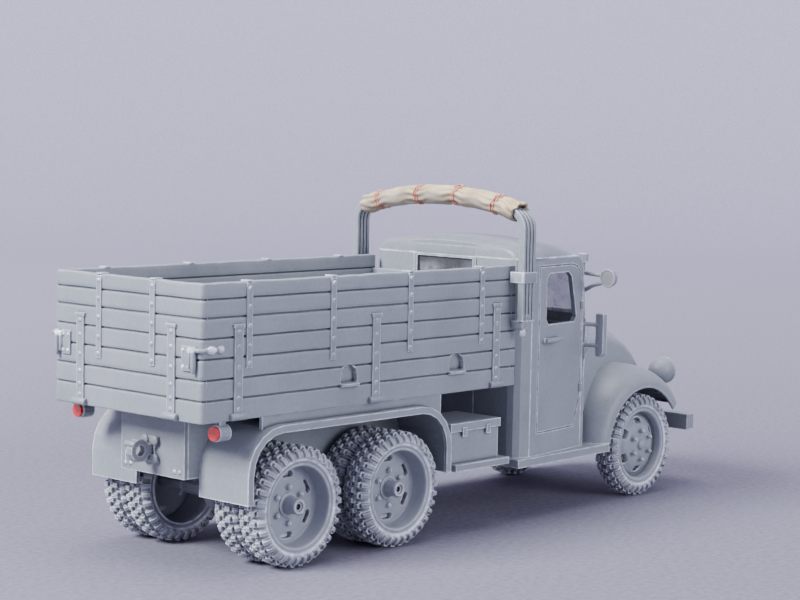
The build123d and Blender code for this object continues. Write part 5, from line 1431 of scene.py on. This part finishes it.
@dataclass
class Bows:
    """The four tilt bows, folded together, with the straps and bolts that hold them."""

    count: int = 4
    rear_x: float = 48.3
    depth: float = 0.5
    pitch: float = 0.59
    half_width: float = 13.57
    thick: float = 0.88
    foot: float = 24.4
    top: float = 38.85
    arch: float = 45.6
    bend: float = 2.15
    band_z: float = 29.55
    band_height: float = 1.3

    def path(self) -> np.ndarray:
        """A bow's middle line: a leg, a bend and an arch, then the same mirrored.

        Returns:
            Points (y, z).
        """
        centre = self.top - self.arch
        bend_y = self.half_width - self.bend
        bend_z = centre + np.sqrt((self.arch - self.bend) ** 2 - bend_y ** 2)
        turn = np.arctan2(bend_z - centre, bend_y)
        legs = np.stack((np.full(10, self.half_width), np.linspace(self.foot, bend_z, 10)), axis=-1)[:-1]
        a = np.linspace(0, turn, 10)
        bends = np.stack((bend_y + self.bend * np.cos(a), bend_z + self.bend * np.sin(a)), axis=-1)
        b = np.linspace(turn, np.pi / 2, 20)[1:]
        arch = np.stack((self.arch * np.cos(b), centre + self.arch * np.sin(b)), axis=-1)
        half = np.vstack((legs, bends, arch))
        return np.vstack((half, half[-2::-1] * np.array((-1, 1))))

    def bow(self, x: float) -> Shell:
        """One bow: the superellipse |u/a|^n + |v/b|^n = 1 carried along the path.

        Args:
            x: Place of its middle line.

        Returns:
            The bow, closed at both feet.
        """
        path = self.path()
        tangent = np.gradient(path, axis=0)
        tangent /= np.linalg.norm(tangent, axis=1, keepdims=True)
        normal = np.stack((tangent[:, 1], -tangent[:, 0]), axis=-1)
        angle = np.linspace(0, 2 * np.pi, 16, endpoint=False)
        power = 0.45
        u = self.depth / 2 * np.sign(np.cos(angle)) * np.abs(np.cos(angle)) ** power
        v = self.thick / 2 * np.sign(np.sin(angle)) * np.abs(np.sin(angle)) ** power
        flat = path[:, None, :] + normal[:, None, :] * v[None, :, None]
        return capped(np.concatenate((np.broadcast_to(x + u, flat.shape[:2])[..., None], flat), axis=-1))

    def irons(self) -> Shell:
        """On the left: a band over the bows below the board's top, a foot bracket and its bolt.

        Returns:
            The irons as one shell.
        """
        middle = TAIL + self.rear_x + (self.count - 1) * self.pitch / 2 + self.depth / 2
        wide = self.count * self.pitch + 0.1
        out = self.half_width + self.thick / 2
        blocks = (((wide, 0.2, self.band_height), (middle, out + 0.07, self.band_z), 0.08),
                  ((0.16, 2.0, self.band_height), (middle - wide / 2, out - 0.85, self.band_z), 0.07),
                  ((1.1, 1.9, 0.9), (middle - 0.3, 12.85, 23.95), 0.12),
                  ((0.75, 0.24, 1.9), (middle - 0.1, 13.2, 23.5), 0.1),
                  ((1.5, 0.5, 1.2), (TAIL + 49.0, 12.1, self.band_z), 0.1))
        bolt = lathe(((0.0, 0.0), (0.0, 0.38), (0.2, 0.42), (0.34, 0.3), (0.38, 0.0)), 14)
        bolts = [bolt.moved(middle - 0.2, 13.7, 24.9), bolt.moved(middle - 0.1, 13.1, 22.95)]
        return joined([*(soft_block(*block) for block in blocks), *bolts])

    def dress(self, paints: Paints) -> None:
        """Builds bows and irons in place of their CAD nodes.

        Args:
            paints: The truck's materials.
        """
        places = [TAIL + self.rear_x + self.depth / 2 + index * self.pitch for index in range(self.count)]
        build("folded_bows", joined([self.bow(x) for x in places]), paints.body, ["tilt_bows"], 70)
        build("bow_irons", self.irons().both(), paints.body, ["tilt_bow_brackets"], 55)


# Front end


@dataclass
class Fender:
    """A front fender: a rounded section turned about the front axle, with a bead on its edge."""

    axle_x: float = 76.37
    axle_z: float = 6.55
    crown: float = 10.28
    crown_y: float = 6.6
    edge: float = 7.72
    inner_y: float = 4.6
    edge_y: float = 11.95
    fall: float = 2 / 2.35
    front: float = 28.0
    foot_z: float = 7.6
    thick: float = 0.42

    def section(self) -> np.ndarray:
        """The crown and its fall to the edge as a superellipse, a bead, then the underside.

        Returns:
            Points (y, r).
        """
        u = np.linspace(0, np.pi / 2, 26)
        wide = self.edge_y - self.crown_y
        y = self.crown_y + wide * np.sin(u) ** self.fall
        r = self.edge + (self.crown - self.edge) * np.cos(u) ** self.fall
        top = np.vstack(((self.inner_y, self.crown), np.stack((y, r), axis=-1)))
        bead = np.array(((0.04, -0.12), (-0.06, -0.26), (-0.24, -0.26), (-0.34, -0.12))) + top[-1]
        under = np.stack((y[::-1] - 0.38 * np.sin(u[::-1]), r[::-1] - self.thick), axis=-1)[3:]
        return np.vstack((top, bead, under, (self.inner_y, self.crown - self.thick)))

    def shell(self) -> Shell:
        """The section turned from the front tip back and down to the running board's height.

        A point is (X + r cos a, y, Z + r sin a), and the front tip draws back a little outwards.

        Returns:
            The closed left fender.
        """
        section = self.section()
        share = np.linspace(0, 1, 72)[:, None]
        y, r = section[:, 0][None], section[:, 1][None]
        outward = (y - self.inner_y) / (self.edge_y - self.inner_y)
        front = np.radians(self.front) + 0.10 * outward ** 4
        back = np.pi - np.arcsin((self.foot_z - self.axle_z) / r)
        angle = front + (back - front) * share
        return capped(np.stack((self.axle_x + TAIL + r * np.cos(angle), y + 0 * angle,
                                self.axle_z + r * np.sin(angle)), axis=-1))

    def dress(self, paints: Paints) -> None:
        """Builds both fenders in place of their CAD nodes."""
        for side in Side:
            build(f"wing_{side.word}", self.shell().on_side(side), paints.body, [f"fender_{side.word}"], 50)


@dataclass
class Hood:
    """The bonnet: sections that narrow and fall towards a slotted nose."""

    rear_x: float = 65.0
    foot: float = 11.6
    ahead: tuple[float, ...] = (0.0, 5.0, 13.0, 17.5, 21.6)
    half: tuple[float, ...] = (9.4, 7.9, 5.7, 5.2, 4.6)
    shoulder: tuple[float, ...] = (10.0, 9.4, 8.7, 6.4, 1.8)
    top: tuple[float, ...] = (11.4, 11.0, 10.3, 8.3, 3.4)
    bend: float = 1.5
    slot_pitch: float = 0.95
    slot_reach: float = 3.4
    slot_depth: float = 0.2
    hinge_height: float = 0.1

    def shell(self) -> Shell:
        """Each section: a side, a quarter circle at the shoulder and a parabola over the crown.

        The nose has slots where a cosine across it is high, and a strip stands on the middle line.

        Returns:
            The closed bonnet.
        """
        x = np.linspace(0, self.ahead[-1], 120)
        half, shoulder, top = (curve(x, self.ahead, row)[:, None] for row in (self.half, self.shoulder, self.top))
        turn = np.linspace(0, np.pi / 2, 9)[None, :]
        low = np.maximum(shoulder - self.bend, 0.15)
        side_z = low * np.linspace(0, 1, 8)[None, :-1]
        side_y = half + 0 * side_z
        bend_y = half - self.bend * (1 - np.cos(turn))
        bend_z = low + (shoulder - low) * np.sin(turn)
        crown = np.linspace(1, 0, 34)[None, 1:]
        crown_y = (half - self.bend) * crown
        crown_z = shoulder + (top - shoulder) * (1 - crown ** 2)
        y = np.concatenate((side_y, bend_y, crown_y), axis=1)
        z = np.concatenate((side_z, bend_z, crown_z), axis=1)
        y, z = np.concatenate((y, -y[:, -2::-1]), axis=1), np.concatenate((z, z[:, -2::-1]), axis=1)
        along = x[:, None] + 0 * y
        comb = 0.5 + 0.5 * np.cos(2 * np.pi * y / self.slot_pitch)
        pit = (smooth_step(comb, 0.55, 0.8) * smooth_step(self.slot_reach - np.abs(y), 0, 0.2)
               * smooth_step(along, 17.6, 17.9) * (1 - smooth_step(along, 21.0, 21.3))
               * smooth_step(z, 1.2, 2.0))
        hinge = (self.hinge_height * smooth_step(0.2 - np.abs(y), -0.05, 0.03)
                 * (1 - smooth_step(along, 16.8, 17.2)))
        points = np.stack((self.rear_x + TAIL + along - self.slot_depth * pit, y,
                           self.foot + z - self.slot_depth * pit + hinge), axis=-1)
        end = np.broadcast_to(np.array((points[-1, 0, 0] - 0.05, 0.0, self.foot + 0.6)), points[-1].shape)
        start = np.broadcast_to(np.array((points[0, 0, 0], 0.0, self.foot + 1.0)), points[0].shape)
        return grid_shell(np.concatenate((start[None], points, end[None])), wrap_columns=True)

    def dress(self, paints: Paints) -> None:
        """Builds the bonnet in place of its CAD node."""
        build("hood_skin", self.shell(), paints.body, ["bonnet"], 50)


@dataclass
class Lamps:
    """Headlamp bowls, round mirrors and the wires of the indicators.

    A lamp's and a mirror's profile is written as (x, r) behind its front face.
    """

    bowl_length: float = 1.75
    bowl_radius: float = 1.68
    rim: tuple[tuple[float, float], ...] = ((-0.35, 1.69), (-0.3, 1.76), (0.0, 1.76), (0.05, 1.66),
                                            (-0.05, 1.52), (-0.3, 1.4), (-0.3, 0.0))
    mirror_bowl: tuple[tuple[float, float], ...] = (
        (0.02, 0.86), (0.0, 0.93), (-0.03, 1.0), (-0.02, 1.1), (0.08, 1.15), (0.3, 1.15), (0.8, 1.0),
        (1.2, 0.72), (1.45, 0.35), (1.5, 0.0))
    mirror_face: tuple[tuple[float, float], ...] = ((0.06, 0.0), (0.03, 0.45), (0.05, 0.88), (0.12, 0.9),
                                                    (0.14, 0.0))
    arm: float = 0.24
    wire: float = 0.09

    def __post_init__(self) -> None:
        """Reads each lamp's place from its CAD node."""
        low, high = mm_box("headlamp_lenses")
        self.lens_x, self.lens_z = low[0], (low[2] + high[2]) / 2
        self.lamp_y = high[1] - (high[2] - low[2]) / 2
        low, high = mm_box("mirror_faces")
        self.mirror = np.array((low[0], high[1] - (high[2] - low[2]) / 2, (low[2] + high[2]) / 2))
        self.box_low, self.box_high = mm_box("indicators")

    @staticmethod
    def about_x(profile: Sequence[tuple[float, float]] | np.ndarray, steps: int) -> Shell:
        """A profile of (x, r) turned about the X axis."""
        return lathe(profile, steps).turned(np.array(((0, 1.0, 0), (-1.0, 0, 0), (0, 0, 1.0))))

    def headlamp(self) -> Shell:
        """The left bowl: an ellipse behind, a rim in front, and a short foot.

        Returns:
            The headlamp without its lens.
        """
        t = np.linspace(0, np.pi / 2, 16)
        bowl = np.stack((-0.9 - self.bowl_length * np.cos(t), self.bowl_radius * np.sin(t)), axis=-1)
        body = self.about_x(np.vstack((bowl, self.rim)), 40).moved(self.lens_x, self.lamp_y, self.lens_z)
        return body + soft_block((1.1, 0.8, 2.4), (self.lens_x - 1.3, self.lamp_y, self.lens_z - 1.8), 0.15)

    def mirrors(self) -> tuple[Shell, Shell]:
        """The left mirror.

        Returns:
            Its bowl with both arms, and its face.
        """
        x, y, z = self.mirror
        cab_y = y - 4.2
        upper = tube([(x + 1.0, cab_y, z + 0.35), (x + 0.9, cab_y + 1.2, z + 0.3),
                      (x + 0.9, y - 0.7, z + 0.2)], self.arm, 10)
        lower = tube([(x + 1.0, cab_y, z - 1.75), (x + 0.9, cab_y + 1.4, z - 1.1),
                      (x + 0.9, y - 0.6, z - 0.5)], np.array((0.3, self.arm, 0.2)), 10)
        body = self.about_x(self.mirror_bowl, 36).moved(x, y, z)
        return joined([body, upper, lower]), self.about_x(self.mirror_face, 32).moved(x, y, z)

    def wires(self) -> Shell:
        """A thin bent wire behind the left indicator, from the pillar's foot to the upper arm.

        Returns:
            The wire.
        """
        x, y = self.box_low[0] + 0.3, self.box_high[1] - 1.9
        low, high = self.box_low[2], self.box_high[2]
        path = [(x, y - 0.9, low - 2.6), (x, y - 0.8, low - 0.6), (x, y - 0.3, low + 1.2),
                (x, y - 0.1, low + 2.6), (x, y - 0.5, high - 1.2), (x, y - 1.0, high - 0.3)]
        return tube(path, self.wire, 8)

    def dress(self, paints: Paints) -> None:
        """Builds the lamps and mirrors in place of their CAD nodes, and adds the wires.

        Args:
            paints: The truck's materials.
        """
        body, face = self.mirrors()
        build("lamp_bowls", self.headlamp().both(), paints.body, ["headlamps"], 50)
        build("mirror_bowls", body.both(), paints.body, ["round_mirrors"], 50)
        build("mirror_glass", face.both(), paints.silver, ["mirror_faces"], 50)
        build("indicator_wires", self.wires().both(), paints.body, sharp=60)


@dataclass
class CabTop:
    """The cab's roof, smooth from the rear wall to the windscreen, and the doors' handles."""

    rear: float = 50.2
    front: float = 65.0
    half: float = 12.0
    front_half: float = 10.5
    straight: float = 3.8
    corner: float = 1.6
    split: float = 31.5
    top: float = 33.9
    arch: float = 60.0
    shoulder: float = 2.4
    fall_x: tuple[float, ...] = (0.0, 1.0, 4.0, 9.0, 10.6, 11.6, 12.3, 12.75)
    fall: tuple[float, ...] = (0.32, 0.18, 0.0, 0.35, 0.85, 1.5, 2.05, 2.4)
    lever_z: float = 21.55
    lever_y: float = 12.05

    def shell(self) -> Shell:
        """Each section stands on the split line: an arch with round shoulders, scaled to the profile.

        The plan narrows round both rear corners and towards the front, and the profile falls
        a little at the rear and down to the split line at the windscreen.

        Returns:
            The closed roof.
        """
        x = np.concatenate((0.01 * np.array((0, 3, 10, 22, 40, 65, 100, 160)),
                            np.linspace(2.2, self.fall_x[-1], 60)))
        share = np.clip((x - self.straight) / (self.front - self.rear - self.straight), 0, 1)
        half = self.half - share * (self.half - self.front_half)
        bite = np.clip(self.corner - x, 0, self.corner)
        half = half - self.corner + np.sqrt(np.maximum(self.corner ** 2 - bite ** 2, 0))
        fall = curve(x, self.fall_x, self.fall) + 0.35 * (1 - smooth_step(x, 0.0, 0.35))
        rise = np.maximum(self.top - self.split - fall, 0.0)[:, None]
        centre = self.top - self.arch
        bend_y = self.half - self.shoulder
        bend_z = centre + np.sqrt((self.arch - self.shoulder) ** 2 - bend_y ** 2)
        turn = np.arctan2(bend_z - centre, bend_y)
        foot = np.arcsin(np.clip((self.split - bend_z) / self.shoulder, -1, 1))
        a = foot + (turn - foot) * np.linspace(0, 1, 13)[None, :]
        b = turn + (np.pi / 2 - turn) * np.linspace(0, 1, 40)[None, 1:]
        y = np.concatenate((bend_y + self.shoulder * np.cos(a), self.arch * np.cos(b)), axis=1)
        z = np.concatenate((bend_z + self.shoulder * np.sin(a), centre + self.arch * np.sin(b)), axis=1)
        unit_y, unit_z = y / y[0, 0], (z - self.split) / (self.top - self.split)
        unit_y = np.concatenate((unit_y, -unit_y[:, -2::-1]), axis=1)
        unit_z = np.concatenate((unit_z, unit_z[:, -2::-1]), axis=1)
        points = np.stack((self.rear + TAIL + x[:, None] + 0 * unit_y, half[:, None] * unit_y,
                           self.split + rise * unit_z), axis=-1)
        ends = []
        for row in (points[0], points[-1]):
            middle = row.mean(axis=0)
            middle[2] = self.split + 0.1 * (row[:, 2].max() - self.split)
            ends.append(np.broadcast_to(middle, row.shape)[None])
        return grid_shell(np.concatenate((ends[0], points, ends[1])), wrap_columns=True)

    def handles(self) -> Shell:
        """The left door's lever on its boss.

        Returns:
            Both as one shell.
        """
        z, y = self.lever_z, self.lever_y
        boss = lathe(((0.0, 0.0), (0.0, 0.34), (0.35, 0.3), (0.4, 0.0)), 14).moved(55.1 + TAIL, y - 0.15, z)
        lever = tube([(54.9 + TAIL, y + 0.35, z), (55.8 + TAIL, y + 0.38, z), (57.2 + TAIL, y + 0.28, z + 0.03),
                      (58.5 + TAIL, y + 0.1, z + 0.05)], np.array((0.34, 0.36, 0.3, 0.2)), 12)
        return boss + lever

    def dress(self, paints: Paints) -> None:
        """Builds the roof in place of its CAD node, the panel's top behind it and the handles.

        Args:
            paints: The truck's materials.
        """
        panel = soft_block((1.6, 10.2, 1.3), (self.rear + TAIL + 0.72, 0, self.split + 0.55), 0.12)
        build("roof_skin", self.shell(), paints.body, ["cab_roof"], 50)
        build("roof_panel", panel, paints.body, sharp=50)
        build("door_levers", self.handles().both(), paints.body, sharp=50)


@dataclass
class TowGear:
    """What the towing hook carries besides its CAD ring: a bolt, a wire loop and plate lobes."""

    z: float = 12.35
    bolt: float = 0.36
    wire: float = 0.085
    panel_x: float = 3.82
    panel_z: float = 10.3
    panel_y: tuple[float, ...] = (-4.4, -3.6, 4.4, 3.6)

    def shell(self) -> Shell:
        """The bolt through the ring's mouth, the loop that hangs from it and four rounded lobes.

        The loop is an ellipse that leans a little out of its plane.

        Returns:
            All of them as one shell.
        """
        bolt = tube([(TAIL + 0.9, 0.9, self.z + 0.75), (TAIL + 0.9, 0.2, self.z + 0.78),
                     (TAIL + 0.9, -0.75, self.z + 0.75)], self.bolt, 12)
        turn = np.linspace(0, 2 * np.pi, 28, endpoint=False)
        loop = np.stack((TAIL + 1.25 + 0.62 * np.cos(turn), 0.55 + 0.12 * np.sin(turn),
                         self.z - 0.55 + 0.95 * np.sin(turn)), axis=-1)
        lobe = lathe(((0.0, 0.0), (0.0, 0.5), (0.18, 0.52), (0.3, 0.4), (0.34, 0.0)), 16).turned(
            np.array(((0, -1.0, 0), (1.0, 0, 0), (0, 0, 1.0))))
        lobes = [lobe.moved(TAIL + 3.5, y, self.z + z) for y in (-0.75, 0.75) for z in (-1.0, 1.0)]
        return joined([bolt, tube(loop, self.wire, 8, closed=True), *lobes])

    def dress(self, paints: Paints) -> None:
        """Builds the small pieces on the frame's rear panel.

        Args:
            paints: The truck's materials.
        """
        # The tow trim takes the darker paint: painted shade under the bed.
        build("tow_trim", self.shell(), paints.frame, sharp=50)
        places = np.array([(TAIL + self.panel_x, y, self.panel_z) for y in self.panel_y])
        build("panel_bolts", dome(0.26, 0.2).turned(FACE_BACK).copies(places), paints.body, sharp=60)


# Studio


@dataclass(frozen=True)
class Camera:
    """The photograph's view, for a picture of 800 by 600."""

    azimuth: float = -47.29
    elevation: float = 4.97
    roll: float = 1.1
    focal_pixels: float = 2014.5
    place: Colour = (-134.56, -163.18, 47.18)
    width: int = 800

    def build(self) -> bpy.types.Object:
        """Makes the camera, its place measured from the tailgate.

        Returns:
            The camera.
        """
        a, e, r = np.radians((self.azimuth, self.elevation, self.roll))
        look = np.array((-np.sin(a) * np.cos(e), np.cos(a) * np.cos(e), -np.sin(e)))
        right = np.cross(look, (0, 0, 1))
        right /= np.linalg.norm(right)
        up = np.cross(right, look)
        right, up = np.cos(r) * right + np.sin(r) * up, -np.sin(r) * right + np.cos(r) * up
        data = bpy.data.cameras.new("camera")
        data.sensor_width = 36.0
        data.lens = self.focal_pixels * data.sensor_width / self.width
        data.clip_start, data.clip_end = 0.005, 20.0
        camera = bpy.data.objects.new("camera", data)
        bpy.context.scene.collection.objects.link(camera)
        x, y, z = self.place
        turn = Matrix(np.stack((right, up, -look), axis=-1).tolist()).to_4x4()
        camera.matrix_world = Matrix.Translation(Vector(((x + TAIL) * MM, y * MM, z * MM))) @ turn
        bpy.context.scene.camera = camera
        return camera


@dataclass(frozen=True)
class Studio:
    """A pale floor that rises to a wall all round, and soft lights."""

    # Dark near the truck and pale far off: painted shade on the floor and painted light on the wall.
    near: Colour = (0.17, 0.165, 0.215)
    far: Colour = (0.82, 0.78, 0.98)
    flat_radius: float = 0.5
    rise: float = 0.6

    def stage(self) -> None:
        """A bowl: r grows and z stays 0, then both follow a quarter circle, then z grows alone."""
        turn = np.linspace(0, np.pi / 2, 24)
        r = np.concatenate((np.linspace(0, self.flat_radius, 16), self.flat_radius + self.rise * np.sin(turn[1:]),
                            [self.flat_radius + self.rise]))
        z = np.concatenate((np.zeros(16), self.rise * (1 - np.cos(turn[1:])), [1.3]))
        angle = np.linspace(0, 2 * np.pi, 96, endpoint=False)[None, :]
        r, z = r[:, None], z[:, None]
        points = np.stack((r * np.cos(angle), r * np.sin(angle), z + 0 * angle), axis=-1)
        shell = grid_shell(points, wrap_columns=True)
        mesh = bpy.data.meshes.new("floor")
        mesh.from_pydata(shell.points.tolist(), [], shell.faces[:, ::-1].tolist())
        mesh.polygons.foreach_set("use_smooth", np.ones(len(mesh.polygons), bool))
        floor = bpy.data.objects.new("floor", mesh)
        bpy.context.scene.collection.objects.link(floor)
        mesh.materials.append(self.floor_material())

    def floor_material(self) -> bpy.types.Material:
        """Matt board, dark near the middle and paler with the distance from it, a painted falloff from shade on
        the floor to light on the wall, with a fine grain.

        Returns:
            The material.
        """
        made = bpy.data.materials.new("floor_board")
        made.use_nodes = True
        graph = Graph(made.node_tree)
        shader = made.node_tree.nodes["Principled BSDF"]
        place = graph.node("ShaderNodeTexCoord").outputs["Object"]
        away = graph.node("ShaderNodeVectorMath", {"Vector": place}, operation="LENGTH").outputs["Value"]
        # Near-to-far blend: painted shade under the truck, painted light on the wall.
        board = graph.mix(graph.span(away, 0.06, 1.05), (*self.near, 1), (*self.far, 1))
        grain = graph.span(graph.noise(place, 1300.0, 3.0, 0.65), 0.3, 0.7, 0.82, 1.16)
        graph.tree.links.new(graph.mix(1.0, board, graph.node("ShaderNodeCombineColor", {
            "Red": grain, "Green": grain, "Blue": grain}).outputs[0], "MULTIPLY"), shader.inputs["Base Color"])
        shader.inputs["Roughness"].default_value = 0.85
        shader.inputs["Specular IOR Level"].default_value = 0.2
        return made

    @staticmethod
    def light(name: str, place: Colour, size: float, watts: float, colour: Colour) -> None:
        """A square soft light that looks at the truck's middle.

        Args:
            name: The light's name.
            place: Where it stands, in metres.
            size: Length of its side.
            watts: Its power.
            colour: Its colour.
        """
        data = bpy.data.lights.new(name, "AREA")
        data.shape, data.size, data.energy, data.color = "SQUARE", size, watts, colour
        lamp = bpy.data.objects.new(name, data)
        bpy.context.scene.collection.objects.link(lamp)
        lamp.location = place
        lamp.rotation_euler = (Vector((0, 0, 0.015)) - Vector(place)).to_track_quat("-Z", "Y").to_euler()

    def lights(self) -> None:
        """A strong soft key behind the truck's tail, an overhead fill and a faint room."""
        self.light("key", (-0.52, 0.12, 0.40), 0.22, 11.6, (0.97, 0.99, 1.0))
        self.light("overhead", (-0.04, 0.02, 0.62), 0.42, 3.9, (0.98, 0.98, 1.0))
        self.light("fill", (0.12, -0.60, 0.20), 0.36, 2.7, (0.95, 0.97, 1.0))
        world = bpy.data.worlds.new("room")
        world.use_nodes = True
        world.node_tree.nodes["Background"].inputs[0].default_value = (0.84, 0.86, 0.95, 1)
        world.node_tree.nodes["Background"].inputs[1].default_value = 0.42
        bpy.context.scene.world = world


def paint_nodes(paints: Paints) -> None:
    """Gives every CAD node its material by the record's slot, and the running gear and rear panel a darker copy of
    the body paint as painted shade.

    Args:
        paints: The truck's materials.
    """
    by_slot = {"body_paint": paints.body, "interior_paint": paints.inner, "tyre_paint": paints.tyre,
               "tilt_canvas": paints.canvas, "tie_straps": paints.tie, "red_lens": paints.red,
               "clear_pane": paints.pane, "silver_face": paints.silver}
    # Parts under the truck take the darker copy of the body paint as painted shade.
    gear = {"rear_panel", "tow_hook", "chassis_frame", "drive_shafts", "leaf_springs", "rear_axle",
            "middle_axle", "front_axle"}
    slots = {row["node"]: row["material_slot"] for row in frame["record"]["subparts"]}
    for name, node in frame["nodes"].items():
        material = paints.frame if name in gear else by_slot[slots[name]]
        if name == "headlamp_lenses":
            material = paints.lamp
        node.data.materials.clear()
        node.data.materials.append(material)


def main() -> None:
    """Builds the truck piece by piece, then the studio."""
    logging.basicConfig(level=logging.INFO, format="%(message)s")
    paints = make_paints()
    Camera().build()
    paint_nodes(paints)
    for place, twin in (("rear", True), ("middle", True), ("front", False)):
        for side in Side:
            Wheel(place, side, twin).dress(paints)
    RolledTilt().dress(paints)
    for part in (Bed(), Bows(), Fender(), Hood(), Lamps(), CabTop(), TowGear()):
        part.dress(paints)
    studio = Studio()
    studio.stage()
    studio.lights()


if __name__ == "__main__":
    main()
